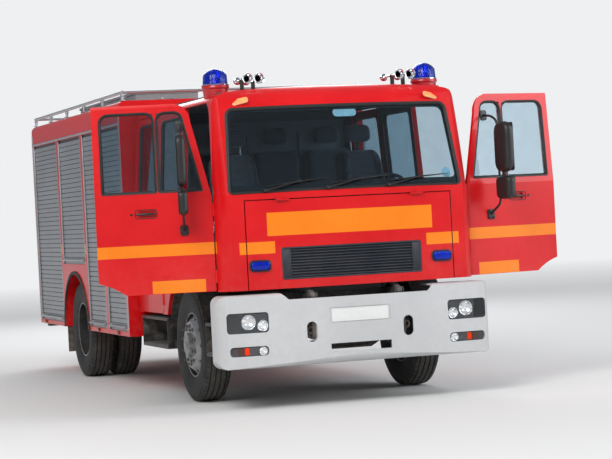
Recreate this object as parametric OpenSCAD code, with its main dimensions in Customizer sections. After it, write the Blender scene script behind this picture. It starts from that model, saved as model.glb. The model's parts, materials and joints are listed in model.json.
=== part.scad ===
// Airport fire engine: a forward-control truck with a tilting crew cab, a coachbuilt
// equipment body behind it, and single front and twin rear wheels.
// Millimetres. The truck faces -Y, +X is its left side and Z = 0 is the ground.
// Modules are drawn with Y = 0 at the front axle, and on_axle() puts them in the part's frame.

/* [Wheelbase and overhangs] */
// Front axle to rear axle
wheelbase = 4100; // [3900:50:4500]
// Bumper face to the front axle
front_overhang = 1440; // [1430:10:1500]
// Rear axle to the edge of the rear step
rear_overhang = 2160; // [2000:20:2400]

/* [Chassis] */
// Width over the two frame rails
frame_w = 860; // [820:10:880]
// Height of the rails' upper flange above the ground
frame_top = 950; // [930:5:955]
// Depth of a rail's web
rail_h = 240; // [220:5:250]
// Width of a rail's flanges
rail_flange = 75; // [60:5:90]
// Thickness of a rail's section
rail_t = 8; // [6:1:10]
// Thickness of a leaf spring pack
spring_t = 75; // [60:5:90]
// Width of the leaves
spring_w = 76; // [70:2:80]

/* [Wheels and axles] */
// Rolling radius of every tyre
tyre_r = 505; // [490:5:515]
// Width of one tyre
tyre_w = 254; // [240:2:270]
// Radius of the bead seat
rim_r = 286; // [280:1:292]
// Wall thickness of the rim
rim_t = 9; // [7:1:11]
// Distance between the centres of the front tyres
front_track = 1960; // [1940:10:1970]
// Distance between the middles of the twin wheels
rear_track = 1860; // [1840:10:1880]
// Distance between the centres of two twin tyres
twin_pitch = 300; // [290:2:310]
// Distance between the kingpins
kingpin_track = 1700; // [1680:10:1710]
// Radius of the wheel nut circle
nut_circle_r = 167.5; // [160:0.5:170]

/* [Cab] */
// Width of the cab over its doors
cab_w = 2300; // [2260:10:2340]
// Distance from the cab's front panel to its rear wall
cab_len = 2960; // [2900:20:3000]
// How far the bumper stands ahead of the front panel
bumper_proud = 110; // [100:5:120]
// Lower edge of the front panel and of the front doors
cab_sill_z = 1000; // [995:5:1010]
// Lower edge of the crew doors
crew_sill_z = 760; // [750:10:790]
// Lower edge of the windscreen
belt_z = 1800; // [1780:10:1820]
// Upper edge of the windscreen
screen_top_z = 2540; // [2520:10:2560]
// Top of the roof
roof_z = 2720; // [2700:10:2740]
// Lean of the windscreen from the vertical, in degrees
screen_lean = 13; // [12:0.5:14]
// How far the sides of the roof draw in from the waist
tumblehome = 60; // [50:2:66]
// Radius of the cab's front corners in plan
corner_r = 230; // [200:10:240]
// Thickness of the doors and walls
wall_t = 50; // [44:2:54]
// Gap round each door
door_gap = 7; // [6:0.5:8]
// Top of the cab's floor
floor_z = 1180; // [1170:5:1190]
// Half the width of the engine tunnel between the seats
tunnel_half_w = 430; // [400:5:440]
// Top of the engine tunnel
tunnel_z = 1480; // [1460:5:1490]
// Length of a front door
front_door_len = 990; // [950:10:1010]
// Length of a crew door
crew_door_len = 840; // [800:10:850]
// Angle at which the front doors stand open
door_rest = 75; // [60:1:80]
// Radius of the front wheel opening in the cab
cab_arch_r = 625; // [618:1:632]

/* [Bumper] */
// Width of the front bumper
bumper_w = 2440; // [2400:10:2470]
// Lower edge of the bumper
bumper_z0 = 355; // [345:5:370]
// Upper edge of the bumper's outer shoulders
bumper_z1 = 965; // [955:5:970]
// How much lower the bumper is in the middle
bumper_drop = 55; // [50:5:60]
// Half the width of that lower middle
bumper_mid = 620; // [600:10:640]
// Wall thickness of the bumper
bumper_t = 12; // [8:1:16]
// Depth of the bumper's ends from front to back
bumper_depth = 320; // [300:10:330]

/* [Equipment body] */
// Width of the body
body_w = 2500; // [2460:10:2520]
// Gap between the cab and the body
cab_gap = 60; // [55:5:80]
// Lower edge of the side lockers
locker_z = 520; // [500:10:540]
// Upper edge of the body's sides
body_top_z = 2800; // [2780:10:2810]
// Depth of the roof deck below that edge
deck_drop = 80; // [70:5:90]
// Thickness of the body's walls
body_t = 45; // [40:5:50]
// Radius of the rear wheel opening
body_arch_r = 600; // [590:5:610]
// Height of a side shutter's head
shutter_top_z = 2560; // [2540:10:2580]
// Width of the posts between shutters
post_w = 70; // [60:5:80]
// Pitch of the shutter slats
slat_pitch = 50; // [45:5:60]

/* [Hidden] */
$fn = 48;
bumper_y = -front_overhang;
cab_y = bumper_y + bumper_proud;
cab_rear_y = cab_y + cab_len;
body_y = cab_rear_y + cab_gap;
tail_y = wheelbase + rear_overhang;
step_depth = 140;
body_rear_y = tail_y - step_depth;
front_axle_y = front_overhang - (front_overhang + wheelbase + rear_overhang) / 2;
half_cab = cab_w / 2;
half_frame = frame_w / 2;
half_body = body_w / 2;
axle_z = tyre_r;
slip = 0.5;
seat = 0.3;

// Placing and mirroring

module on_axle() { translate([0, front_axle_y, 0]) children(); }
// side is 1 for the truck's left (+X) and -1 for its right.
module on_side(side) { mirror([side > 0 ? 0 : 1, 0, 0]) children(); }
module both_sides() { for (side = [1, -1]) on_side(side) children(); }
// A (y, z) outline carried along X.
module across(x0, x1) { translate([x0, 0, 0]) rotate([90, 0, 90]) linear_extrude(x1 - x0) children(); }
// An (x, z) outline carried along Y.
module along(y0, y1) { translate([0, y1, 0]) rotate([90, 0, 0]) linear_extrude(y1 - y0) children(); }
// A box and a rectangle, each from two corners.
module block(a, b) { translate(a) cube(b - a); }
module flat(a, b) { translate(a) square(b - a); }
module round_flat(a, b, r) {
    flat([a.x + r, a.y], [b.x - r, b.y]);
    flat([a.x, a.y + r], [b.x, b.y - r]);
    for (x = [a.x + r, b.x - r], y = [a.y + r, b.y - r]) translate([x, y]) circle(r);
}
module rod(a, b, r) {
    d = b - a;
    translate(a) rotate([0, acos(d.z / norm(d)), atan2(d.y, d.x)]) cylinder(r = r, h = norm(d));
}
// A (radius, x) outline turned about a wheel's axis.
module turned(y) { translate([0, y, axle_z]) rotate([0, 90, 0]) rotate_extrude() children(); }
module bar_x(x0, x1, y, z, r) { translate([x0, y, z]) rotate([0, 90, 0]) cylinder(r = r, h = x1 - x0); }

// Cab: its outer form is three outlines crossed

brow_r = 330;
screen_set_back = 25;
screen_top_y = cab_y + screen_set_back + (screen_top_z - belt_z) * tan(screen_lean);
brow_y = screen_top_y + sqrt(pow(brow_r, 2) - pow(brow_r - roof_z + screen_top_z, 2));
roof_crown = 55;
crown_r = (pow(half_cab, 2) + pow(roof_crown, 2)) / (2 * roof_crown);
front_bow_r = 14000;
eave_r = 110;
eave_z = roof_z - roof_crown - eave_r;
side_slope = tumblehome / (roof_z - roof_crown - belt_z);
eave_x = half_cab - side_slope * (eave_z - belt_z) - eave_r;

// The cab in plan, drawn in by t.
module cab_plan(t) {
    intersection() {
        round_flat([-half_cab + t, cab_y + t], [half_cab - t, cab_rear_y + 600], corner_r - t);
        translate([0, cab_y + t + front_bow_r]) circle(front_bow_r, $fn = 720);
    }
}
// Brow, roof line and rear wall in side view.
module cab_side_view(t, z0) {
    flat([brow_y, z0], [cab_rear_y - t, roof_z - t]);
    flat([cab_y - 100, z0], [brow_y, roof_z - brow_r]);
    translate([brow_y, roof_z - brow_r]) circle(brow_r - t);
}
// Tumblehome, eaves and roof crown in front view.
module cab_front_view(t, z0) {
    side_x = half_cab - t;
    eave_side_x = side_x - side_slope * (eave_z - belt_z);
    intersection() {
        union() {
            flat([-half_cab - 10, z0], [half_cab + 10, belt_z]);
            polygon([[-side_x, belt_z - 1], [side_x, belt_z - 1], [eave_side_x, eave_z],
                [-eave_side_x, eave_z]]);
            flat([-eave_x, eave_z - 1], [eave_x, roof_z]);
            for (x = [-eave_x, eave_x]) translate([x, eave_z]) circle(eave_r - t);
        }
        translate([0, roof_z - t - crown_r]) circle(crown_r, $fn = 720);
    }
}
// Everything within the cab's skin, drawn in by t, from z0 up.
module cab_form(t, z0) {
    intersection() {
        union() {
            translate([0, 0, z0]) linear_extrude(belt_z - z0) cab_plan(t);
            intersection() {
                screen_plane() translate([0, 0, -300]) linear_extrude(2400) translate([0, -cab_y])
                    cab_plan(t);
                block([-half_cab, cab_y - 50, belt_z], [half_cab, cab_rear_y + 10, roof_z + 10]);
            }
        }
        across(-half_cab - 10, half_cab + 10) cab_side_view(t, z0 - 5);
        along(cab_y - 300, cab_rear_y + 300) cab_front_view(t, z0 - 5);
    }
}
// Leans its children back with the windscreen, whose foot is their origin.
module screen_plane() {
    translate([0, cab_y + screen_set_back, belt_z]) rotate([-screen_lean, 0, 0]) children();
}
// The roof's crown and eaves, to seat what stands on it.
module roof_solid(y0, y1) { along(y0, y1) cab_front_view(0, roof_z - 300); }

// Door and window outlines in side view, shrunk by g

hinge_y = cab_y + 190;
hinge_x = half_cab;
front_door_y1 = hinge_y + front_door_len;
crew_door_y1 = cab_rear_y - 95;
crew_door_y0 = crew_door_y1 - crew_door_len;
door_top_z = 2600;
window_sill_z = 1860;
window_top_z = door_top_z - 80;
window_frame = 75;
window_r = 70;
skin_t = 20;
seal_step = 14;
glass_t = 6;
glass_depth = 14;
pillar_lean = tan(screen_lean);
divider_y = hinge_y + 440;
divider_w = 28;
arch_rim = 45;
handle_z = 1680;
handle_len = 140;
front_handle_y = hinge_y + 620;
crew_handle_y = crew_door_y1 - 90;

// Where the leaning front edge of the door is at height z.
function pillar_y(z) = hinge_y + pillar_lean * (z - belt_z);

module front_door_outline(g) {
    nose_r = 150;
    top = door_top_z - g;
    shoulder_y = pillar_y(door_top_z - nose_r) + g;
    difference() {
        union() {
            polygon([[hinge_y + g, cab_sill_z + g], [front_door_y1 - g, cab_sill_z + g],
                [front_door_y1 - g, top],
                [shoulder_y + nose_r, top], [shoulder_y, top - nose_r], [hinge_y + g, belt_z]]);
            translate([shoulder_y + nose_r, top - nose_r]) circle(nose_r);
        }
        translate([0, axle_z]) circle(cab_arch_r + g);
    }
}
module front_window_outline(g) {
    y1 = front_door_y1 - window_frame - g;
    top = window_top_z - g;
    sill = window_sill_z + g;
    nose_y = pillar_y(window_top_z - window_r) + window_frame + g;
    difference() {
        union() {
            polygon([[pillar_y(sill) + window_frame + g, sill], [y1, sill], [y1, top - window_r],
                [y1 - window_r, top],
                [nose_y + window_r, top], [nose_y, top - window_r]]);
            for (y = [y1 - window_r, nose_y + window_r]) translate([y, top - window_r]) circle(window_r);
        }
        // Bar between the quarter light and the sliding pane
        flat([divider_y - g, sill - 1], [divider_y + divider_w + g, top + 1]);
    }
}
module crew_door_outline(g) {
    difference() {
        round_flat([crew_door_y0 + g, crew_sill_z + g], [crew_door_y1 - g, door_top_z - g], 60);
        translate([0, axle_z]) circle(arch_rim_r + g);
    }
}
module crew_window_outline(g) {
    round_flat([crew_door_y0 + window_frame + g, window_sill_z + g],
        [crew_door_y1 - window_frame - g, window_top_z - g], window_r);
}
// The fixed window between the two doors.
module middle_window_outline(g) {
    round_flat([front_door_y1 + window_frame + g, window_sill_z + g],
        [crew_door_y0 - window_frame - g, window_top_z - g], window_r);
}
// The windscreen, seen square to its leaning plane with the origin at its foot.
module screen_outline(g) {
    foot = 25 + g;
    head = (screen_top_z - belt_z) / cos(screen_lean) - 10 - g;
    foot_x = half_cab - 115 - g;
    head_x = foot_x - 45;
    r = 60;
    polygon([[-foot_x, foot], [foot_x, foot], [head_x, head - r], [head_x - r, head],
        [r - head_x, head], [-head_x, head - r]]);
    for (x = [r - head_x, head_x - r]) translate([x, head - r]) circle(r);
}

// Cab shell

flap_half_w = 920;
flap_top_z = belt_z - 55;
flap_t = 30;
flap_gap = 9;
flap_hinge_y = cab_y - 5;
bulkhead_y = cab_y + 68;
bulkhead_t = 32;
floor_t = 60;
sill_w = 290;
well_depth = 240;
pivot_y = cab_y - 10;
pivot_z = bumper_z1 - 40;
pivot_r = 18;
lug_t = 44;
lug_x = half_frame - 42;
tunnel_y1 = 480;
tunnel_t = 40;
roof_seam_z = door_top_z + 12;
hinge_r = 12;
hinge_pin_r = 5;
barrel_h = 55;
front_hinge_z = [1130, 1690];
arch_rim_r = cab_arch_r + arch_rim;
// Top of the wheel arch's rim where the crew door is hung, or the ground if it is hung behind the arch.
arch_rim_z = crew_door_y0 < arch_rim_r ? axle_z + sqrt(pow(arch_rim_r, 2) - pow(crew_door_y0, 2)) : 0;
crew_hinge_z = [max(900, arch_rim_z + 2 * barrel_h), 1690];
flap_hinge_x = 600;
flap_barrel = 56;
flap_barrel_r = 9;

// Door hinges: a barrel with a pin on the cab's pillar, under a barrel on the door.
module hinge_posts(y, heights) {
    for (z = heights) translate([hinge_x, y, z - barrel_h]) {
        cylinder(r = hinge_r, h = barrel_h - slip);
        cylinder(r = hinge_pin_r, h = 2 * barrel_h - 5);
    }
}
module hinge_eyes(y, heights) {
    for (z = heights) translate([hinge_x, y, z]) difference() {
        cylinder(r = hinge_r, h = barrel_h);
        translate([0, 0, -1]) cylinder(r = hinge_pin_r + slip, h = barrel_h + 2);
    }
}
// Room round the other half of each hinge; part is 0 for the eyes and 1 for the posts.
module hinge_room(y, heights, part) {
    for (z = heights) translate([hinge_x, y, z - part * barrel_h - 1])
        cylinder(r = hinge_r + 1, h = barrel_h + 2);
}
module door_cut() {
    across(half_cab - wall_t - door_gap, half_cab + 20) children();
    intersection() {
        across(half_cab - 270, half_cab + 20) children();
        block([0, cab_y, floor_z + 5], [half_cab + 20, cab_rear_y, roof_z]);
    }
}
module lug_outline() {
    difference() {
        union() {
            translate([pivot_y, pivot_z]) circle(pivot_r + 16);
            polygon([[pivot_y - 20, pivot_z - 26], [pivot_y + 2, pivot_z + 33],
                [bulkhead_y - 8, cab_sill_z - 14],
                [bulkhead_y, cab_sill_z + 60], [bulkhead_y + bulkhead_t, cab_sill_z + 60],
                [bulkhead_y + bulkhead_t + 40, cab_sill_z], [bulkhead_y + 10, cab_sill_z - 60]]);
        }
        translate([pivot_y, pivot_z]) circle(pivot_r + slip);
    }
}
// What is open in the cab: doors, fixed windows, wheel arches and the bay behind the flap.
module cab_cuts() {
    block([-half_cab - 1, cab_y - 50, crew_sill_z - 10], [half_cab + 1, 0, cab_sill_z]);
    block([-half_cab + sill_w, 0, crew_sill_z - 10], [half_cab - sill_w, cab_rear_y + 1, floor_z - floor_t]);
    block([-flap_half_w - flap_gap, cab_y - 50, cab_sill_z - 10],
        [flap_half_w + flap_gap, bulkhead_y, flap_top_z + flap_gap]);
    across(-half_cab - 1, half_cab + 1) translate([0, axle_z]) circle(cab_arch_r);
    both_sides() {
        door_cut() front_door_outline(0);
        door_cut() crew_door_outline(0);
        across(half_cab - 270, half_cab + 20) middle_window_outline(0);
    }
}
module cab_skin() {
    difference() {
        cab_form(0, crew_sill_z);
        cab_form(wall_t, crew_sill_z - 10);
    }
}
module above_roof_seam() {
    block([-half_cab - 10, cab_y - 50, roof_seam_z], [half_cab + 10, cab_rear_y + 10, roof_z + 10]);
}
module cab_shell() {
    color([0.78, 0.02, 0.03]) on_axle() {
        difference() {
            cab_skin();
            cab_cuts();
            above_roof_seam();
            screen_plane() along(-80, 200) screen_outline(0);
            both_sides() {
                hinge_room(hinge_y, front_hinge_z, 0);
                hinge_room(crew_door_y0, crew_hinge_z, 0);
            }
        }
        both_sides() {
            hinge_posts(hinge_y, front_hinge_z);
            hinge_posts(crew_door_y0, crew_hinge_z);
            // Upper halves of the flap's hinges
            bar_x(flap_hinge_x, flap_hinge_x + flap_barrel, flap_hinge_y, flap_top_z, flap_barrel_r);
            bar_x(flap_hinge_x - flap_barrel, flap_hinge_x + 1, flap_hinge_y, flap_top_z, 3.5);
            block([flap_hinge_x, flap_hinge_y + 1, flap_top_z + 2],
                [flap_hinge_x + flap_barrel, cab_y + 30, flap_top_z + 21]);
        }
    }
}
module cab_roof() {
    color([0.78, 0.02, 0.03]) on_axle() intersection() {
        cab_skin();
        above_roof_seam();
    }
}
module cab_floor() {
    tunnel_x = tunnel_half_w - tunnel_t;
    bulkhead_rear_y = bulkhead_y + bulkhead_t;
    color([0.6, 0.02, 0.03]) on_axle() {
        difference() {
            intersection() {
                cab_form(wall_t + seat, crew_sill_z);
                union() {
                    block([-half_cab, cab_y, floor_z - floor_t], [half_cab, cab_rear_y, floor_z]);
                    // Bulkhead, with the shelf under the windscreen
                    block([-half_cab, bulkhead_y, cab_sill_z], [half_cab, bulkhead_rear_y, belt_z + 10]);
                    block([-half_cab, cab_y, belt_z - 30], [half_cab, bulkhead_rear_y, belt_z + 10]);
                    // Engine tunnel
                    block([-tunnel_half_w, bulkhead_y, cab_sill_z], [tunnel_half_w, tunnel_y1, tunnel_z]);
                    // Step wells below the crew doors
                    for (x = [-half_cab, half_cab - sill_w])
                        block([x, crew_door_y0 - 40, crew_sill_z], [x + sill_w, crew_door_y1 + 40, floor_z]);
                }
            }
            cab_cuts();
            block([-tunnel_x, bulkhead_rear_y, crew_sill_z],
                [tunnel_x, tunnel_y1 - tunnel_t, tunnel_z - tunnel_t]);
            // Room for the boots on the crew step
            both_sides() block([half_cab - sill_w + 20, crew_door_y0, crew_sill_z + 30],
                [half_cab, crew_door_y1, crew_sill_z + well_depth - 20]);
        }
        for (x = [-lug_x, lug_x]) across(x - lug_t / 2, x + lug_t / 2) lug_outline();
    }
}
module windscreen() {
    color([0.12, 0.16, 0.2, 0.5]) on_axle() intersection() {
        difference() {
            cab_form(glass_depth, belt_z - 100);
            cab_form(glass_depth + glass_t, belt_z - 110);
        }
        screen_plane() along(-80, 200) screen_outline(0);
    }
}
// Panes that follow the cab's side, within an outline.
module side_pane() {
    intersection() {
        difference() {
            cab_form(glass_depth, window_sill_z - 100);
            cab_form(glass_depth + glass_t, window_sill_z - 110);
        }
        across(half_cab - 270, half_cab + 20) children();
    }
}
module cab_glass() {
    color([0.12, 0.16, 0.2, 0.5]) on_axle() both_sides() side_pane() middle_window_outline(0);
}

// Doors

// Turns a front door about its hinge, from closed to where it stands.
module at_door_rest() {
    translate([hinge_x, hinge_y, 0]) rotate([0, 0, -door_rest]) translate([-hinge_x, -hinge_y, 0]) children();
}
module door_slab(z0) {
    // The outer skin has the full outline, the part behind it steps in for the seal.
    difference() {
        intersection() {
            cab_form(0, z0);
            union() {
                intersection() {
                    across(half_cab - 270, half_cab + 20) children(0);
                    difference() {
                        block([0, cab_y, z0 - 10], [half_cab + 20, cab_rear_y, roof_z]);
                        cab_form(skin_t, z0 - 20);
                    }
                }
                intersection() {
                    across(half_cab - 270, half_cab + 20) children(1);
                    difference() {
                        cab_form(skin_t - 5, z0);
                        cab_form(wall_t, z0 - 20);
                    }
                }
            }
        }
        across(half_cab - 270, half_cab + 20) children(2);
    }
}
// A grip across a recess in the skin, from y back to y - handle_len.
module with_handle(y) {
    difference() {
        children();
        block([half_cab - 18, y - handle_len, handle_z - 28], [half_cab + 20, y, handle_z + 28]);
    }
    block([half_cab - 6, y - handle_len - 2, handle_z - 11], [half_cab + 8, y + 2, handle_z + 11]);
}
module front_door(side) {
    color([0.78, 0.02, 0.03]) on_axle() on_side(side) at_door_rest() {
        difference() {
            with_handle(front_handle_y) door_slab(cab_sill_z - 20) {
                front_door_outline(door_gap);
                front_door_outline(door_gap + seal_step);
                front_window_outline(0);
            }
            hinge_room(hinge_y, front_hinge_z, 1);
        }
        hinge_eyes(hinge_y, front_hinge_z);
    }
}
module door_glass(side) {
    color([0.12, 0.16, 0.2, 0.5]) on_axle() on_side(side) at_door_rest() side_pane() front_window_outline(0);
}
module crew_door(side) {
    color([0.78, 0.02, 0.03]) on_axle() on_side(side) {
        difference() {
            with_handle(crew_handle_y) door_slab(crew_sill_z - 20) {
                crew_door_outline(door_gap);
                crew_door_outline(door_gap + seal_step);
                crew_window_outline(0);
            }
            hinge_room(crew_door_y0, crew_hinge_z, 1);
        }
        hinge_eyes(crew_door_y0, crew_hinge_z);
    }
}
module crew_glass(side) {
    color([0.12, 0.16, 0.2, 0.5]) on_axle() on_side(side) side_pane() crew_window_outline(0);
}
module mirror_set(side) {
    post = [half_cab + 150, hinge_y + 250];
    head_w = 210;
    head_d = 90;
    arm_r = 11;
    wide_z = 1650;
    tall_z = 1885;
    top_z = 2330;
    foot_drop = 120;
    color([0.05, 0.05, 0.05]) on_axle() on_side(side) at_door_rest() {
        for (head = [[wide_z, tall_z - 20], [tall_z, top_z]])
            translate([post.x - 30, post.y - 50, head[0]]) linear_extrude(head[1] - head[0])
                round_flat([0, 0], [head_w, head_d], 30);
        translate([post.x, post.y, wide_z - 60]) cylinder(r = arm_r + 3, h = top_z - wide_z + 120);
        difference() {
            union() {
                rod([half_cab - 60, post.y, wide_z - 40 - foot_drop], [post.x, post.y, wide_z - 40], arm_r);
                rod([half_cab - 90, post.y, top_z + 40], [post.x, post.y, top_z + 40], arm_r);
                for (z = [wide_z - 70 - foot_drop, top_z])
                    block([half_cab - 90, post.y - 35, z],
                        [half_cab + (z < top_z ? 12 : -25), post.y + 35, z + 80]);
            }
            cab_form(0, 1400);
        }
    }
}

// Cab furniture

steering_wheel_at = [480, -800, 1800];
steering_wheel_r = 225;
steering_tilt = 35;
column_len = 330;
seat_x = 600;
seat_y = -480;
seat_w = 480;
seat_len = 500;

module dashboard() {
    back_y = bulkhead_y + bulkhead_t;
    color([0.12, 0.12, 0.13]) on_axle() {
        difference() {
            intersection() {
                cab_form(wall_t + door_gap + 8, floor_z);
                across(-half_cab, half_cab)
                    polygon([[back_y, 1330], [back_y, belt_z - 5], [back_y + 40, belt_z],
                    [-985, 1770], [-950, 1720], [-960, 1560], [-1010, 1500], [-1030, 1380], [-1080, 1330]]);
            }
            block([-tunnel_half_w, cab_y, floor_z], [tunnel_half_w, tunnel_y1, tunnel_z]);
        }
        // Centre console over the tunnel
        across(-200, 200) polygon([[-1080, tunnel_z], [-1080, 1700], [-930, 1640], [-900, 1540],
            [-880, tunnel_z]]);
        // Steering column, with the shaft that the wheel turns on
        translate(steering_wheel_at) rotate([-steering_tilt, 0, 0]) {
            translate([0, 0, -column_len]) cylinder(r = 38, h = column_len - 50);
            translate([0, 0, -60]) cylinder(r = 16, h = 50);
        }
    }
}
module steering_wheel() {
    hub_r = 62;
    color([0.06, 0.06, 0.06]) on_axle() translate(steering_wheel_at) rotate([-steering_tilt, 0, 0]) {
        rotate_extrude() translate([steering_wheel_r - 14, 0]) circle(14, $fn = 20);
        difference() {
            translate([0, 0, -44]) cylinder(r1 = 40, r2 = hub_r, h = 44);
            translate([0, 0, -50]) cylinder(r = 16 + slip, h = 50 - 9);
        }
        for (a = [0, 180, 250, 290]) rotate([0, 0, a])
            block([hub_r - 12, -16, -16], [steering_wheel_r - 20, 16, -4]);
    }
}
// A seat seen from the side: cushion, back and head restraint.
module seat_outline(y, z, back_z) {
    translate([y, z]) {
        round_flat([0, 0], [seat_len, 130], 40);
        rotate(-10) translate([seat_len - 105, 150]) round_flat([0, 0], [110, back_z], 40);
    }
}
module front_seats() {
    cushion_z = tunnel_z + 20;
    color([0.1, 0.1, 0.12]) on_axle() both_sides() {
        across(seat_x - seat_w / 2, seat_x + seat_w / 2) seat_outline(seat_y, cushion_z, 560);
        across(seat_x - 130, seat_x + 130) seat_head(cushion_z + 740);
        block([seat_x - 150, seat_y + 60, floor_z], [seat_x + 180, seat_y + 420, cushion_z]);
    }
}
module seat_head(z) { translate([seat_y + seat_len + 25, z]) round_flat([0, 0], [85, 180], 35); }
module crew_bench() {
    bench_half_w = 1060;
    back_y = cab_rear_y - wall_t;
    color([0.1, 0.1, 0.12]) on_axle() intersection() {
        cab_form(wall_t + door_gap + 8, floor_z);
        across(-bench_half_w, bench_half_w) {
            flat([back_y - 380, floor_z], [back_y, 1520]);
            round_flat([back_y - 500, 1520], [back_y, 1640], 40);
            round_flat([back_y - 110, 1660], [back_y - 10, 2280], 40);
        }
    }
}

// Cab front and roof

module front_flap() {
    x0 = flap_hinge_x - flap_barrel;
    x1 = flap_hinge_x - 2;
    color([0.78, 0.02, 0.03]) on_axle() {
        difference() {
            intersection() {
                difference() {
                    cab_form(0, cab_sill_z);
                    cab_form(flap_t, cab_sill_z - 10);
                }
                along(cab_y - 50, bulkhead_y) flat([-flap_half_w, cab_sill_z], [flap_half_w, flap_top_z]);
            }
            along(cab_y - 50, bulkhead_y) grille_outline();
        }
        // Lower halves of the hinges
        both_sides() difference() {
            union() {
                bar_x(x0, x1, flap_hinge_y, flap_top_z, flap_barrel_r);
                block([x0, flap_hinge_y, flap_top_z - flap_barrel_r], [x1, cab_y + 20, flap_top_z]);
            }
            bar_x(x0 - 1, x1 + 1, flap_hinge_y, flap_top_z, 3.5 + slip);
        }
    }
}
module grille_outline() { round_flat([-grille_half_w, grille_z0], [grille_half_w, grille_z1], 20); }
grille_half_w = 628;
grille_z0 = 1072;
grille_z1 = 1345;
module grille() {
    slats = 5;
    pitch = (grille_z1 - grille_z0) / slats;
    color([0.08, 0.09, 0.12]) on_axle() intersection() {
        along(cab_y - 50, bulkhead_y) grille_outline();
        union() {
            difference() {
                cab_form(20, cab_sill_z);
                cab_form(flap_t, cab_sill_z - 10);
            }
            difference() {
                cab_form(6, cab_sill_z);
                cab_form(flap_t - 5, cab_sill_z - 10);
                for (i = [0 : slats - 1])
                    block([-grille_half_w + 30, cab_y - 50, grille_z0 + pitch * i + 16],
                        [grille_half_w - 30, bulkhead_y, grille_z0 + pitch * (i + 1) - 4]);
            }
        }
    }
}
beacon_at = [960, cab_y + 600];
dome_r = 102;
dome_sink = 60;
module beacons() {
    base_r = 118;
    lens_h = 92;
    on_axle() both_sides() {
        color([0.1, 0.02, 0.02]) difference() {
            translate([beacon_at.x, beacon_at.y, roof_z - 90]) cylinder(r = base_r, h = 120);
            roof_solid(beacon_at.y - base_r - 10, beacon_at.y + base_r + 10);
        }
        color([0.02, 0.1, 0.7]) translate([beacon_at.x, beacon_at.y, roof_z + 30]) {
            cylinder(r1 = dome_r + 7, r2 = dome_r, h = lens_h);
            translate([0, 0, lens_h]) intersection() {
                translate([0, 0, -dome_sink]) sphere(sqrt(pow(dome_r, 2) + pow(dome_sink, 2)));
                cylinder(r = dome_r, h = dome_r);
            }
        }
    }
}
module air_horns() {
    bell_len = 90;
    mouth_y = beacon_at.y - 250;
    horn_z = roof_z + 70;
    stand_y = [mouth_y + 170, mouth_y + 210];
    // Place and length of each pipe behind its bell
    color([0.8, 0.8, 0.82]) on_axle() both_sides() for (horn = [[640, 330], [740, 250]]) {
        translate([horn[0], mouth_y, horn_z]) rotate([-90, 0, 0]) {
            cylinder(r1 = 47, r2 = 16, h = bell_len);
            translate([0, 0, bell_len]) cylinder(r1 = 16, r2 = 10, h = horn[1]);
        }
        difference() {
            block([horn[0] - 14, stand_y[0], roof_z - 60], [horn[0] + 14, stand_y[1], horn_z]);
            translate([0, 0, seat]) roof_solid(stand_y[0] - 10, stand_y[1] + 10);
        }
    }
}
// How far the windscreen's bow has run back at x.
function screen_bow(x) = front_bow_r - sqrt(pow(front_bow_r, 2) - pow(x, 2));

module wipers() {
    pivots = [-740, -190, 360];
    reach = 310;
    half_blade = 260;
    rise = 24;
    arm_y = -24;
    foot_z = 24;
    tip_z = 92;
    color([0.04, 0.04, 0.04]) on_axle() screen_plane() for (x = pivots) {
        tip = x + reach;
        skin_y = min(screen_bow(x - 14), screen_bow(x + 14)) - seat;
        translate([x, skin_y - 34, foot_z]) rotate([-90, 0, 0]) cylinder(r = 14, h = 34);
        rod([x, screen_bow(x) + arm_y, foot_z], [tip, screen_bow(tip) + arm_y, tip_z], 7);
        rod([tip - half_blade, screen_bow(tip - half_blade) + 3, tip_z - rise],
            [tip + half_blade, screen_bow(tip + half_blade) + 3, tip_z + rise], 8);
        translate([tip, screen_bow(tip) + arm_y, tip_z]) rotate([-90, 0, 0]) cylinder(r = 9, h = 24);
    }
}

// Bumper and lamps

lamp_z = [650, 820];
lamp_x = [800, 1158];
fog_z = [460, 540];
fog_x = [810, 1140];
lamp_depth = 130;
lamp_r = 30;
plate_half_w = 270;
plate_z = [690, 820];
// Round lamps in their housings: centre and radius
lamp_bowls = [[851, 708, 43], [972, 742, 60], [856, 500, 33]];

module bumper_form(t) {
    bumper_edge_r = 72;
    intersection() {
        translate([0, 0, bumper_z0 - 5]) linear_extrude(bumper_z1 - bumper_z0 + 10) intersection() {
            round_flat([-bumper_w / 2 + t, bumper_y + t],
                [bumper_w / 2 - t, bumper_y + bumper_depth + 300], 190 - t);
            translate([0, bumper_y + t + front_bow_r]) circle(front_bow_r, $fn = 720);
        }
        along(bumper_y - 10, bumper_y + bumper_depth)
            round_flat([-bumper_w / 2 + t, bumper_z0 + t], [bumper_w / 2 - t, bumper_z1 - t],
                bumper_edge_r - t);
        across(-bumper_w / 2, bumper_w / 2)
            round_flat([bumper_y + t, bumper_z0 + t], [bumper_y + 600, bumper_z1 - t], bumper_edge_r - t);
    }
}
module lamp_box(xs, zs) {
    along(bumper_y - 20, bumper_y + lamp_depth) round_flat([xs[0], zs[0]], [xs[1], zs[1]], lamp_r);
}
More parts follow.
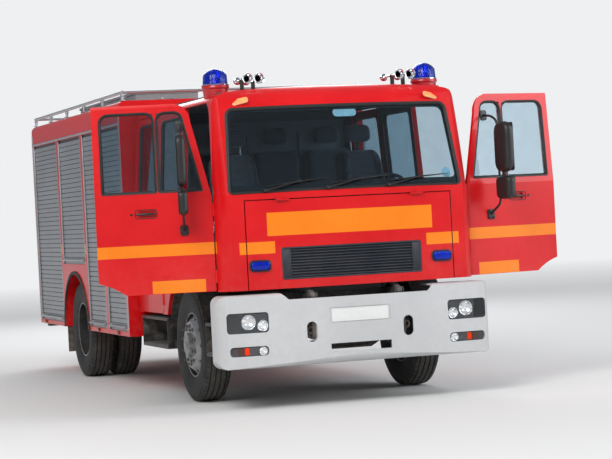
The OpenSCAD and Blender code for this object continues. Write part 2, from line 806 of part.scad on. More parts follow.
module front_bumper() {
    mid_depth = 48;
    pad_z = [540, 780];
    step_lean = 60;
    step_z = bumper_z1 - bumper_drop;
    rib_y = bumper_y + 40;
    color([0.78, 0.79, 0.8]) on_axle() difference() {
        union() {
            difference() {
                bumper_form(0);
                bumper_form(bumper_t);
                translate([0, bumper_depth, 0])
                    block([-bumper_w, bumper_y - 20, bumper_z0 - 10],
                        [bumper_w, bumper_y + 300, bumper_z1 + 10]);
            }
            // Pads that bolt to the frame's brackets
            intersection() {
                bumper_form(2);
                union() {
                    for (x = [-lug_x, lug_x]) block([x - 35, bumper_y, pad_z[0]], [x + 35, rib_y, pad_z[1]]);
                    block([-bumper_mid, bumper_y, step_z - bumper_t],
                        [bumper_mid, bumper_y + mid_depth, step_z]);
                }
            }
        }
        // The lower middle, between leaning steps
        along(bumper_y - 20, bumper_y + bumper_depth + 1)
            polygon([[-bumper_mid, step_z], [bumper_mid, step_z],
            [bumper_mid + step_lean, bumper_z1 + 1], [-bumper_mid - step_lean, bumper_z1 + 1]]);
        both_sides() {
            lamp_box(lamp_x, lamp_z);
            lamp_box(fog_x, fog_z);
            along(bumper_y - 20, bumper_y + 100) translate([430, 630]) round_flat([-45, -85], [45, 85], 44);
        }
        block([-270, bumper_y - 20, 450], [270, bumper_y + 60, 520]);
        block([-plate_half_w, bumper_y - 20, plate_z[0]],
            [plate_half_w, bumper_y + bumper_t / 2, plate_z[1]]);
    }
}
module headlamps() {
    color([0.2, 0.22, 0.25]) on_axle() both_sides() {
        for (box = [[lamp_x, lamp_z], [fog_x, fog_z]]) intersection() {
            lamp_box(box[0], box[1]);
            difference() {
                bumper_form(3);
                bumper_form(50);
                for (bowl = lamp_bowls) translate([bowl.x, bumper_y + screen_bow(bowl.x), bowl.y])
                    rotate([-90, 0, 0]) {
                    translate([0, 0, -10]) cylinder(r = bowl.z, h = 24);
                    translate([0, 0, 13]) cylinder(r1 = bowl.z, r2 = bowl.z / 2, h = 24);
                }
            }
        }
    }
}

// Chassis

rail_front_y = cab_y + 150;
rail_rear_y = body_rear_y - 20;
rail_z0 = frame_top - rail_h;
subframe_h = 50;
spring_x = half_frame - spring_w / 2;
eye_y = 820;
front_eye_z = 650;
rear_eye_z = 672;
eye_r = 30;
front_seat_z = 485;
rear_seat_z = 600;
cross_h = 142;

module rail() {
    along(rail_front_y, rail_rear_y) difference() {
        flat([half_frame - rail_flange, rail_z0], [half_frame, frame_top]);
        flat([half_frame - rail_flange - 1, rail_z0 + rail_t], [half_frame - rail_t, frame_top - rail_t]);
    }
}
module chassis_frame() {
    bracket_t = 12;
    bracket_gap = 6;
    latch_y = cab_rear_y - 80;
    color([0.12, 0.12, 0.13]) on_axle() {
        both_sides() {
            rail();
            // Spacer between the frame and the body
            block([half_frame - rail_flange, body_y + 60, frame_top],
                [half_frame, body_rear_y - 60, frame_top + subframe_h]);
            // Brackets that carry the tilt pins
            for (x = [lug_x - lug_t / 2 - bracket_gap - bracket_t, lug_x + lug_t / 2 + bracket_gap])
                across(x, x + bracket_t) tilt_bracket();
            bar_x(lug_x - lug_t / 2 - 14, lug_x + lug_t / 2 + 14, pivot_y, pivot_z, pivot_r);
            // Bumper arms
            across(lug_x - 30, lug_x + 30) polygon([[bumper_y + 40, 560], [bumper_y + 40, 760],
                [rail_front_y, 860], [rail_front_y, rail_z0]]);
            // Cab latch posts
            block([half_frame - rail_flange, latch_y - 40, frame_top],
                [half_frame, latch_y + 40, floor_z - floor_t - 60]);
            // Spring hangers
            for (y = [-eye_y, eye_y]) {
                spring_hanger(y, front_eye_z);
                spring_hanger(wheelbase + y, rear_eye_z);
            }
        }
        block([-520, latch_y - 40, floor_z - floor_t - 60], [520, latch_y + 40, floor_z - floor_t - 8]);
    }
}
module cross_members() {
    web_x = half_frame - rail_t;
    top = frame_top - rail_t;
    half = 40;
    color([0.12, 0.12, 0.13]) on_axle()
        for (y = [rail_front_y + 110, 1180, body_y + 500, body_y + 1500, wheelbase - 300, wheelbase + 300,
            wheelbase + 1300, rail_rear_y - 40])
            difference() {
                across(-web_x, web_x) difference() {
                    flat([y - half, top - cross_h], [y + half, top]);
                    flat([y - half + rail_t, top - cross_h - 1], [y + half - rail_t, top - rail_t]);
                }
                // Lightening holes
                for (x = [-220, 0, 220]) translate([x, y, top - rail_t - 1]) cylinder(r = 24, h = rail_t + 2);
            }
}
module tilt_bracket() {
    difference() {
        union() {
            translate([pivot_y, pivot_z]) circle(pivot_r + 16);
            polygon([[pivot_y - 20, pivot_z - 26], [pivot_y, pivot_z + 33],
                [rail_front_y + 60, frame_top - 22],
                [rail_front_y + 60, frame_top - 120]]);
        }
    }
}
module spring_hanger(y, eye_z) {
    cheek = 10;
    x0 = spring_x - spring_w / 2;
    x1 = spring_x + spring_w / 2;
    half = eye_r + 8;
    for (x = [x0 - cheek, x1]) across(x, x + cheek) {
        translate([y, eye_z]) circle(half);
        flat([y - half, eye_z], [y + half, x > spring_x ? frame_top - 90 : rail_z0]);
    }
    bar_x(x0, x1, y, eye_z, 14);
    block([x0 - cheek, y - half, rail_z0 - 6], [x1, y + half, rail_z0]);
}
module leaf_spring(y, seat_z, eye_z) {
    // Arcs through the eyes and the axle's seat
    sag = eye_z + 12 - seat_z - spring_t;
    arc_r = (pow(eye_y, 2) + pow(sag, 2)) / (2 * sag);
    leaves = 3;
    leaf_t = spring_t / leaves;
    across(spring_x - spring_w / 2, spring_x + spring_w / 2) {
        for (i = [0 : leaves - 1]) intersection() {
            translate([y, seat_z + leaf_t * i + arc_r]) difference() {
                circle(arc_r, $fn = 720);
                circle(arc_r - leaf_t, $fn = 720);
            }
            half = eye_y - 20 - 230 * (leaves - 1 - i);
            flat([y - half, seat_z - 5], [y + half, eye_z + 60]);
        }
        for (dy = [-eye_y, eye_y]) translate([y + dy, eye_z]) difference() {
            circle(eye_r);
            circle(14 + 0.3);
        }
    }
}
module leaf_springs() {
    color([0.1, 0.1, 0.11]) on_axle() both_sides() {
        leaf_spring(0, front_seat_z, front_eye_z);
        leaf_spring(wheelbase, rear_seat_z, rear_eye_z);
    }
}
module engine() {
    radiator_y = [rail_front_y + 160, rail_front_y + 235];
    mount_z = 780;
    color([0.35, 0.36, 0.38]) on_axle() {
        // Engine block with its sump and head, radiator ahead, gearbox behind
        along(-900, 300) polygon([[-210, 620], [210, 620], [230, 760], [300, 800], [300, 1120], [240, 1290],
            [-240, 1290], [-300, 1120], [-300, 800], [-230, 760]]);
        block([-350, radiator_y[0], 720], [350, radiator_y[1], 1340]);
        block([-90, radiator_y[1], 900], [90, -900, 1080]);
        for (x = [-half_frame + rail_t, 290])
            block([x, -560, mount_z], [x + half_frame - rail_t - 290, -460, mount_z + 70]);
        translate([0, 300, gearbox_z]) rotate([-90, 0, 0]) {
            cylinder(r1 = 210, r2 = 150, h = 180);
            translate([0, 0, 180]) cylinder(r1 = 150, r2 = 110, h = gearbox_y1 - 480);
        }
    }
}
gearbox_y1 = 950;
gearbox_z = 740;
pinion_y = wheelbase - 330;
module propshaft() {
    flange_t = 40;
    tube = [42, 54];
    ends = [[0, gearbox_y1 + flange_t / 2, gearbox_z], [0, pinion_y - flange_t / 2, axle_z + 50]];
    way = (ends[1] - ends[0]) / norm(ends[1] - ends[0]);
    color([0.15, 0.15, 0.16]) on_axle() {
        rod(ends[0], ends[1], tube[0]);
        for (run = [[ends[0], ends[0] + 130 * way], [ends[1] - 130 * way, ends[1]]])
            rod(run[0], run[1], tube[1]);
        for (end = ends) translate([0, end.y - flange_t / 2, end.z]) rotate([-90, 0, 0])
            cylinder(r = 70, h = flange_t);
    }
}
side_bay_y = [720, body_y - 130];
module fuel_tank() {
    tank_x = [half_frame + 50, half_cab - 320];
    tank_z = [390, 745];
    strap_t = 6;
    color([0.6, 0.61, 0.63]) on_axle() {
        along(side_bay_y[0], side_bay_y[1]) round_flat([tank_x[0], tank_z[0]], [tank_x[1], tank_z[1]], 60);
        for (y = [side_bay_y[0] + 180, side_bay_y[1] - 110]) {
            along(y - 25, y + 25) difference() {
                round_flat([tank_x[0] - strap_t, tank_z[0] - strap_t],
                    [tank_x[1] + strap_t, tank_z[1] + strap_t], 64);
                round_flat([tank_x[0], tank_z[0]], [tank_x[1], tank_z[1]], 60);
            }
            block([half_frame, y - 25, rail_z0 + 10], [tank_x[0] - strap_t + 2, y + 25, tank_z[1]]);
        }
        // Filler neck
        translate([tank_x[1] - 90, side_bay_y[0] + 90, tank_z[1] - 10]) cylinder(r = 42, h = 50);
    }
}
module exhaust() {
    box_z = [430, 720];
    color([0.4, 0.4, 0.42]) on_axle() {
        along(side_bay_y[0] + 40, side_bay_y[1] - 60)
            round_flat([-820, box_z[0]], [-half_frame - 90, box_z[1]], 90);
        for (y = [side_bay_y[0] + 190, side_bay_y[1] - 160])
            block([-560, y - 20, box_z[1] - 5], [-half_frame, y + 20, rail_z0 + 60]);
        translate([-670, side_bay_y[1] - 60, 575]) rotate([-90, 0, 0]) cylinder(r = 45, h = 110);
    }
}
// Compressed air tanks for the brakes, studded to the rails' webs.
module air_tanks() {
    tank_r = 62;
    web_x = half_frame - rail_t;
    color([0.14, 0.14, 0.15]) on_axle() for (y = [body_y + 640, body_y + 790])
        translate([0, y, frame_top - rail_t - cross_h / 2 - 10]) rotate([0, 90, 0]) rotate_extrude()
            polygon([[0, -web_x], [18, -web_x], [18, -372], [42, -364], [tank_r, -330], [tank_r, 330],
                [42, 364],
                [18, 372], [18, web_x], [0, web_x]]);
}

// Axles and steering

kingpin_x = kingpin_track / 2;
kingpin_r = 20;
eye_half = 72;
fork_gap = 4;
ear_t = 38;
arm_len = 195;
arm_z = axle_z - eye_half - fork_gap - ear_t;
ball_r = 13;
stub_r = 38;
front_wheel_x = front_track / 2;

module front_axle() {
    beam_top = front_seat_z - 20;
    color([0.1, 0.1, 0.11]) on_axle() {
        difference() {
            along(-45, 45) both_sides_flat()
                polygon([[0, beam_top - 85], [590, beam_top - 85], [720, axle_z - 50],
                [kingpin_x - 30, axle_z - 50], [kingpin_x - 30, axle_z + 50], [680, axle_z + 50],
                    [570, beam_top], [0, beam_top]]);
            for (y = [-45, 45]) block([-560, y - 22, beam_top - 66], [560, y + 22, beam_top - 19]);
        }
        both_sides() {
            translate([kingpin_x, 0, axle_z - eye_half]) cylinder(r = 46, h = 2 * eye_half);
            translate([kingpin_x, 0, arm_z]) cylinder(r = kingpin_r, h = 2 * (axle_z - arm_z));
            block([spring_x - 60, -75, beam_top], [spring_x + 60, 75, front_seat_z]);
        }
    }
}
module both_sides_flat() { children(); mirror([1, 0]) children(); }
module knuckle(side) {
    web_x = kingpin_x + 54;
    color([0.14, 0.14, 0.15]) on_axle() on_side(side) {
        for (z = [arm_z, axle_z + eye_half + fork_gap]) translate([0, 0, z]) linear_extrude(ear_t)
            difference() {
            union() {
                translate([kingpin_x, 0]) circle(44);
                flat([kingpin_x, -44], [web_x + 20, 44]);
            }
            translate([kingpin_x, 0]) circle(kingpin_r + slip);
        }
        block([web_x, -70, arm_z], [web_x + 24, 70, axle_z + eye_half + fork_gap + ear_t]);
        bar_x(web_x + 24, front_wheel_x + 140, 0, axle_z, stub_r);
        // Steering arm with its ball pin
        block([kingpin_x - 22, 36, arm_z], [kingpin_x + 22, arm_len, arm_z + 26]);
        translate([kingpin_x, arm_len, arm_z]) cylinder(r = 24, h = 26);
        translate([kingpin_x, arm_len, arm_z + 26]) cylinder(r = ball_r, h = 46);
    }
}
module tie_rod() {
    z = arm_z + 26 + 5;
    color([0.14, 0.14, 0.15]) on_axle() difference() {
        union() {
            for (x = [-kingpin_x, kingpin_x]) translate([x, arm_len, z]) cylinder(r = 24, h = 36);
            bar_x(-kingpin_x, kingpin_x, arm_len, z + 18, 16);
        }
        for (x = [-kingpin_x, kingpin_x]) translate([x, arm_len, z - 5]) cylinder(r = ball_r + slip, h = 60);
    }
}
module rear_axle() {
    tube_r = 75;
    housing_r = 195;
    plate_x = 640;
    color([0.12, 0.12, 0.13]) on_axle() {
        // Casing with its brake plates, turned about the axle
        turned(wheelbase) polygon([[0, -plate_x - 25], [190, -plate_x - 25], [190, -plate_x],
            [tube_r, -plate_x],
            [tube_r, -230], [120, -190], [housing_r, -80], [housing_r, 80], [120, 190], [tube_r, 230],
            [tube_r, plate_x], [190, plate_x], [190, plate_x + 25], [0, plate_x + 25]]);
        translate([0, pinion_y, axle_z + 50]) rotate([-90, 0, 0]) cylinder(r1 = 70, r2 = 110, h = 200);
        both_sides() {
            bar_x(plate_x + 25, rear_track / 2 + 140, wheelbase, axle_z, stub_r);
            block([spring_x - 55, wheelbase - 70, axle_z], [spring_x + 55, wheelbase + 70, rear_seat_z]);
        }
    }
}

// Wheels

module tyre(x, y) {
    half = tyre_w / 2;
    color([0.04, 0.04, 0.04]) on_axle() turned(y) translate([0, x]) polygon([[rim_r, -95], [330, 12 - half],
        [410, -half], [465, 6 - half], [tyre_r - 10, 22 - half], [tyre_r, 40 - half], [tyre_r, half - 40],
        [tyre_r - 10, half - 22], [465, half - 6], [410, half], [330, half - 12], [rim_r, 95]]);
}
module twin_tyres() { for (dx = [-0.5, 0.5]) tyre((rear_track / 2) + dx * twin_pitch, wheelbase); }
nut_count = 10;
hand_hole_r = 19;
hand_circle_r = 246;

// Ten times round a wheel, starting at an angle.
module round_wheel(y, start) {
    for (i = [0 : nut_count - 1]) translate([0, y, axle_z]) rotate([start + i * 360 / nut_count, 0, 0])
        children();
}
module front_rim() {
    inner = rim_r - rim_t;
    color([0.75, 0.76, 0.78]) on_axle() {
        difference() {
            turned(0) translate([0, front_wheel_x])
                polygon([[rim_r, -98], [rim_r, 98], [inner, 98], [inner, 58], [250, 74],
                [206, 124], [112, 124], [100, 158], [0, 166], [0, 150], [stub_r + 1, 150],
                    [stub_r + 1, -40], [205, -40],
                [205, 106], [238, 66], [inner, 40], [inner, -98]]);
            round_wheel(0, 18) bar_x(front_wheel_x + 30, front_wheel_x + 130, 0, hand_circle_r, hand_hole_r);
        }
        round_wheel(0, 0) bar_x(front_wheel_x + 124, front_wheel_x + 144, 0, nut_circle_r, 15, $fn = 6);
    }
}
module rear_rims() {
    inner = rim_r - rim_t;
    half = twin_pitch / 2;
    x = rear_track / 2;
    color([0.75, 0.76, 0.78]) on_axle() {
        turned(wheelbase) translate([0, x])
            polygon([[rim_r, -half - 98], [rim_r, 98 - half], [inner, 98 - half], [222, 0],
            [inner, half - 98], [rim_r, half - 98], [rim_r, half + 98], [inner, half + 98],
                [inner, half - 78],
            [215, 14], [115, 14], [112, 150], [90, 166], [0, 166], [0, 150], [stub_r + 1, 150],
            [stub_r + 1, -240], [205, -240], [205, -14], [215, -14], [inner, 78 - half],
                [inner, -half - 98]]);
        round_wheel(wheelbase, 0) bar_x(x + 14, x + 36, 0, nut_circle_r, 15, $fn = 6);
    }
}

// Steps and mudguards

module step_set(y0, y1, beams) {
    tread_x = [860, half_cab - 10];
    treads = [440, 700];
    side_t = 8;
    color([0.16, 0.16, 0.17]) {
        for (z = treads) block([tread_x[0] + (z > 500 ? 60 : 0), y0, z], [tread_x[1], y1, z + 28]);
        for (y = [y0, y1 - side_t]) across(tread_x[0], tread_x[1]) flat([y, 0 + 440], [y + side_t, 728]);
        for (y = beams) block([half_frame, y - 25, rail_z0 + 4], [tread_x[0] + 70, y + 25, rail_z0 + 42]);
    }
}
module entry_steps() {
    on_axle() both_sides() {
        step_set(-1105, -665, [-960]);
        step_set(side_bay_y[0] - 70, body_y - 90, [side_bay_y[0] - 40, body_y - 100]);
    }
}
module front_mudguards() {
    guard_r = 590;
    guard_t = 8;
    lowest = 140;
    stay_a = 24;
    stay_r = 12;
    color([0.05, 0.05, 0.05]) on_axle() both_sides() {
        across(845, 1125) translate([0, axle_z]) difference() {
            circle(guard_r + guard_t, $fn = 96);
            circle(guard_r, $fn = 96);
            flat([-guard_r - 20, -guard_r - 20], [guard_r + 20, lowest]);
        }
        for (y = [-1, 1]) difference() {
            bar_x(half_frame, 1100, y * cos(stay_a) * (guard_r + stay_r),
                axle_z + sin(stay_a) * (guard_r + stay_r), stay_r);
            across(half_frame, 1130) translate([0, axle_z]) circle(guard_r + guard_t / 2, $fn = 96);
        }
    }
}

// Equipment body

locker_depth = 600;
low_x = half_frame + 50;
floor_under_z = frame_top + subframe_h;
arch_top_z = axle_z + body_arch_r + 105;
front_group_y = [body_y + body_t + 25, wheelbase - body_arch_r - 50];
rear_group_y = [wheelbase + body_arch_r + 50, body_rear_y - body_t];
front_mid_y = (front_group_y[0] + front_group_y[1]) / 2;
sill_h = 45;
// Openings along each side: start, end, lower edge
side_openings = [
    [front_group_y[0], front_mid_y - post_w / 2, locker_z + sill_h],
    [front_mid_y + post_w / 2, front_group_y[1], locker_z + sill_h],
    [front_group_y[1] + post_w, rear_group_y[0] - post_w, arch_top_z],
    [rear_group_y[0], rear_group_y[1], locker_z + sill_h]];
rear_opening = [650, floor_under_z + body_t, 2480];
shutter_t = 22;
shutter_in = 14;

module body_outline(t) {
    r = 70 - t;
    flat([-half_body + t, floor_under_z], [half_body - t, body_top_z - t - r]);
    flat([-half_body + t + r, floor_under_z], [half_body - t - r, body_top_z - t]);
    for (x = [-half_body + t + r, half_body - t - r]) translate([x, body_top_z - t - r]) circle(r);
}
module body_shell() {
    deck_z = body_top_z - deck_drop;
    color([0.78, 0.02, 0.03]) on_axle() difference() {
        union() {
            along(body_y, body_rear_y) body_outline(0);
            both_sides() block([low_x, body_y, locker_z], [half_body, body_rear_y, floor_under_z + 1]);
        }
        // Sunk roof deck
        block([-half_body + 90, body_y + 60, deck_z], [half_body - 90, body_rear_y - 60, body_top_z + 1]);
        // Middle bay, for the tank
        block([-half_body + locker_depth + body_t, body_y + body_t, floor_under_z + body_t],
            [half_body - locker_depth - body_t, body_rear_y - body_t, deck_z - body_t]);
        along(body_rear_y - body_t - 1, body_rear_y + 1)
            flat([-rear_opening[0], rear_opening[1]], [rear_opening[0], rear_opening[2]]);
        both_sides() {
            for (o = side_openings) {
                block([half_body - body_t, o[0], o[2]], [half_body + 1, o[1], shutter_top_z]);
                block([half_body - locker_depth, o[0], o[2]],
                    [half_body - body_t + 1, o[1], shutter_top_z + 60]);
            }
            across(low_x - 1, half_body + 1) translate([wheelbase, axle_z]) circle(body_arch_r);
        }
    }
}
// A curtain of slats seen from its end, with a bottom bar.
module slat_outline(z0, z1) {
    count = floor((z1 - z0 - 80) / slat_pitch);
    flat([0, z0], [shutter_t, z0 + 70]);
    flat([0, z0], [shutter_t - 6, z1]);
    for (i = [0 : count - 1])
        flat([0, z0 + 76 + slat_pitch * i], [shutter_t - 2, z0 + 76 + slat_pitch * (i + 1) - 8]);
}
module roller_shutters() {
    color([0.72, 0.73, 0.75]) on_axle() {
        both_sides() for (o = side_openings)
            along(o[0], o[1]) translate([half_body - shutter_in - shutter_t, 0])
                slat_outline(o[2], shutter_top_z);
        across(-rear_opening[0], rear_opening[0]) translate([body_rear_y - shutter_in - shutter_t, 0])
            slat_outline(rear_opening[1], rear_opening[2]);
    }
}
module water_tank() {
    bay_half_w = half_body - locker_depth - body_t;
    color([0.55, 0.57, 0.6]) on_axle() {
        block([-bay_half_w + 25, body_y + 250, floor_under_z + body_t],
            [bay_half_w - 25, wheelbase + 700, 2150]);
        // Pump
        block([-350, wheelbase + 850, floor_under_z + body_t], [350, body_rear_y - 200, 1700]);
    }
}
// Lips round the wheel openings, and flaps hung behind the wheels.
module rear_splash_guards() {
    lip_t = 14;
    flap_y = wheelbase + body_arch_r + 12;
    color([0.05, 0.05, 0.05]) on_axle() both_sides() {
        across(half_body, half_body + lip_t) difference() {
            translate([wheelbase, axle_z]) circle(body_arch_r + 28, $fn = 96);
            translate([wheelbase, axle_z]) circle(body_arch_r - 6, $fn = 96);
            flat([body_y, axle_z - 2 * body_arch_r], [body_rear_y, locker_z]);
        }
        block([rear_track / 2 - twin_pitch / 2, flap_y, 240], [half_body - 20, flap_y + 8, locker_z]);
    }
}
module roof_gallery() {
    rail_r = 17;
    rail_x = half_body - 55;
    rail_z = body_top_z + 82;
    y0 = body_y + 40;
    y1 = body_rear_y - 40;
    posts = 6;
    color([0.8, 0.81, 0.83]) on_axle() {
        both_sides() {
            translate([rail_x, y0 - 24, rail_z]) rotate([-90, 0, 0]) cylinder(r = rail_r, h = y1 - y0 + 48);
            for (i = [0 : posts - 1]) translate([rail_x, y0 + i * (y1 - y0) / (posts - 1), body_top_z])
                cylinder(r = 13, h = rail_z - body_top_z);
        }
        for (y = [y0, y1]) bar_x(-rail_x, rail_x, y, rail_z, rail_r - 2);
    }
}
module roof_ladder() {
    deck_z = body_top_z - deck_drop;
    y0 = body_y + 500;
    y1 = body_rear_y - 250;
    x1 = half_body - 480;
    x0 = x1 - 540;
    stile = [30, 70];
    color([0.8, 0.81, 0.83]) on_axle() {
        for (y = [y0 + 400, y1 - 400]) block([x0 - 50, y - 30, deck_z], [x1 + 50, y + 30, deck_z + 50]);
        for (layer = [0, 1]) {
            inset = layer * 45;
            z = deck_z + 50 + layer * stile[1];
            for (x = [x0 + inset, x1 - inset - stile[0]]) block([x, y0, z], [x + stile[0], y1, z + stile[1]]);
            for (y = [y0 + 150 : 280 : y1 - 100])
                bar_x(x0 + inset + stile[0], x1 - inset - stile[0], y, z + stile[1] / 2, 14);
        }
    }
}
module roof_box() {
    deck_z = body_top_z - deck_drop;
    x0 = -half_body + 350;
    x1 = x0 + 650;
    y0 = body_y + 700;
    y1 = body_rear_y - 1130;
    lid_z = deck_z + 180;
    color([0.74, 0.75, 0.77]) on_axle() {
        block([x0, y0, deck_z], [x1, y1, lid_z]);
        block([x0 + 10, y0 + 10, lid_z], [x1 - 10, y1 - 10, lid_z + 4]);
        block([x0 - 10, y0 - 10, lid_z + 4], [x1 + 10, y1 + 10, lid_z + 30]);
    }
}
module rear_ladder() {
    x0 = -half_body + 140;
    x1 = x0 + 350;
    y = body_rear_y + 90;
    rungs = 6;
    z0 = 780;
    z1 = body_top_z - 60;
    color([0.8, 0.81, 0.83]) on_axle() {
        for (x = [x0, x1]) {
            translate([x, y, z0]) cylinder(r = 17, h = z1 - z0);
            for (z = [z0 + 60, (z0 + z1) / 2, z1 - 60]) translate([x, body_rear_y, z]) rotate([-90, 0, 0])
                cylinder(r = 14, h = 90);
        }
        for (i = [0 : rungs - 1]) bar_x(x0, x1, y, z0 + 150 + i * 300, 13);
    }
}
module tail_lamps() {
    color([0.5, 0.02, 0.02]) on_axle() both_sides() {
        block([half_body - 490, body_rear_y, 600], [half_body - 50, body_rear_y + 60, 730]);
        block([half_body - 90, body_rear_y, 2620], [half_body - 20, body_rear_y + 40, 2700]);
    }
}
module rear_step() {
    step_z = [470, 510];
    color([0.3, 0.31, 0.33]) on_axle() {
        block([-half_body + 100, body_rear_y + 10, step_z[0]], [half_body - 100, tail_y, step_z[1]]);
        for (x = [-half_frame, half_frame - 60]) {
            block([x, rail_rear_y, step_z[0]], [x + 60, body_rear_y + 40, frame_top]);
        }
        block([-700, body_rear_y + 20, 400], [700, body_rear_y + 120, step_z[0]]);
        // Tow coupling
        block([-150, rail_rear_y, 620], [150, rail_rear_y + 30, 860]);
        block([-half_frame, rail_rear_y, 700], [half_frame, rail_rear_y + 20, 800]);
        difference() {
            block([-70, rail_rear_y + 30, 690], [70, tail_y - 20, 790]);
            translate([0, tail_y - 70, 600]) cylinder(r = 24, h = 300);
            block([-71, tail_y - 120, 715], [71, tail_y, 765]);
        }
    }
}

chassis_frame();
cross_members();
front_bumper();
headlamps();
entry_steps();
front_mudguards();
front_axle();
leaf_springs();
rear_axle();
engine();
propshaft();
fuel_tank();
exhaust();
air_tanks();
water_tank();
body_shell();
rear_splash_guards();
roller_shutters();
roof_gallery();
roof_ladder();
roof_box();
rear_ladder();
tail_lamps();
rear_step();
knuckle(1);  // knuckle_left
knuckle(-1);  // knuckle_right
tie_rod();
on_side(1) tyre(front_wheel_x, 0);  // front_tyre_left
on_side(-1) tyre(front_wheel_x, 0);  // front_tyre_right
on_side(1) front_rim();  // front_rim_left
on_side(-1) front_rim();  // front_rim_right
on_side(1) twin_tyres();  // rear_tyres_left
on_side(-1) twin_tyres();  // rear_tyres_right
on_side(1) rear_rims();  // rear_rims_left
on_side(-1) rear_rims();  // rear_rims_right
cab_shell();
cab_roof();
cab_floor();
windscreen();
cab_glass();
dashboard();
steering_wheel();
front_seats();
crew_bench();
beacons();
air_horns();
wipers();
front_flap();
grille();
front_door(1);  // door_left
front_door(-1);  // door_right
door_glass(1);  // door_glass_left
door_glass(-1);  // door_glass_right
mirror_set(1);  // mirror_left
mirror_set(-1);  // mirror_right
crew_door(1);  // crew_door_left
crew_door(-1);  // crew_door_right
crew_glass(1);  // crew_glass_left
crew_glass(-1);  // crew_glass_right
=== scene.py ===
from collections import namedtuple
import json
import math

import bmesh
import bpy
import numpy as np
from mathutils import Matrix, Vector


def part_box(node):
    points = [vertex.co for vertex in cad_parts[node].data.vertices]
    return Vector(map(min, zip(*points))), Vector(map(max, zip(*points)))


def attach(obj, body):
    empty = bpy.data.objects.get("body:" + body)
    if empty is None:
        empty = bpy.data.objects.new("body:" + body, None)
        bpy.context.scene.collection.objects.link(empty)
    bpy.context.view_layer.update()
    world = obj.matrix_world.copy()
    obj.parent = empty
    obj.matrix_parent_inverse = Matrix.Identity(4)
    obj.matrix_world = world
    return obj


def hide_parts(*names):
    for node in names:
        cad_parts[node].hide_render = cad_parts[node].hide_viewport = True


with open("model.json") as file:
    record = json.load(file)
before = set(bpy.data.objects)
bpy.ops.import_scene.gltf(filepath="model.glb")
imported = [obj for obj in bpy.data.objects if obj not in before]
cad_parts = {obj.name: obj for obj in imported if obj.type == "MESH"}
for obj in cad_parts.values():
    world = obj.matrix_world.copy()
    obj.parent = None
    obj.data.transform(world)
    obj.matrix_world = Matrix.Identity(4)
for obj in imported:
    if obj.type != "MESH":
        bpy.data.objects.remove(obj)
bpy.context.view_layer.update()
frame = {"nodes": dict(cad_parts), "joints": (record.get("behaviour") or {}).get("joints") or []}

nodes = frame["nodes"]

# Camera
# A long lens at eye height, ahead of the truck's right front corner, held a little askew.
# It stands where the photograph was taken from, and is aimed so that the open doors fit.
camera_from_panel = Vector((-5.87, -16.52, 1.59))
front_panel_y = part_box("front_flap")[0].y + 0.014
camera_place = Vector((0, front_panel_y, 0)) + camera_from_panel
aim_heading = math.radians(18.3)
aim_climb = math.radians(-0.35)
camera_roll = math.radians(-2.96)
sight = Vector((math.sin(aim_heading) * math.cos(aim_climb), math.cos(aim_heading) * math.cos(aim_climb),
    math.sin(aim_climb)))
level_right = Vector((math.cos(aim_heading), -math.sin(aim_heading), 0))
level_up = level_right.cross(sight)
right = level_right * math.cos(camera_roll) + level_up * math.sin(camera_roll)
camera_data = bpy.data.cameras.new("camera")
camera_data.lens = 122
camera_data.sensor_width = 36
camera = bpy.data.objects.new("camera", camera_data)
camera.matrix_world = Matrix.Translation(camera_place) @ Matrix((right, right.cross(sight),
    -sight)).transposed().to_4x4()
bpy.context.scene.collection.objects.link(camera)
bpy.context.scene.camera = camera

# Studio
# A pale floor under a pale surround, a large soft key light from the left and a softer fill.
# The surround is near white to the camera and through glass, dimmer and bluer in reflections, and lights no
# more than it should.
backdrop_white = (0.86, 0.87, 0.88, 1)
floor_reach = 90.0
floor_z = -0.002


def feed(node, inputs):
    """Lays a plain value, a Field or another node's output on each named socket of a node."""
    for name, value in inputs.items():
        value = getattr(value, "socket", value)
        if isinstance(value, bpy.types.NodeSocket):
            node.id_data.links.new(value, node.inputs[name])
        else:
            node.inputs[name].default_value = value


def wire(tree, kind, inputs=None, **settings):
    """One shader node: settings are its properties, inputs go to its sockets."""
    made = tree.nodes.new(kind)
    for name, value in settings.items():
        setattr(made, name, value)
    feed(made, inputs or {})
    return made


def shaded(name):
    """A new material, its tree and its shader."""
    material = bpy.data.materials.new(name)
    material.use_nodes = True
    return material, material.node_tree, material.node_tree.nodes["Principled BSDF"]


world = bpy.data.worlds.new("studio_world")
bpy.context.scene.world = world
world.use_nodes = True
tree = world.node_tree
surround = tree.nodes["Background"]
feed(surround, {"Color": (0.9, 0.93, 0.97, 1), "Strength": 0.62})
backdrop = wire(tree, "ShaderNodeBackground", {"Color": backdrop_white, "Strength": 1.0})
reflected = wire(tree, "ShaderNodeBackground", {"Color": (0.8, 0.86, 0.95, 1), "Strength": 0.3})
rays = wire(tree, "ShaderNodeLightPath").outputs
seen = wire(tree, "ShaderNodeMath", {0: rays["Is Camera Ray"], 1: rays["Is Transmission Ray"]},
    operation="MAXIMUM")
unseen = wire(tree, "ShaderNodeMixShader", {0: rays["Is Glossy Ray"], 1: surround.outputs[0],
    2: reflected.outputs[0]})
either = wire(tree, "ShaderNodeMixShader", {0: seen.outputs[0], 1: unseen.outputs[0], 2: backdrop.outputs[0]})
feed(tree.nodes["World Output"], {"Surface": either.outputs[0]})

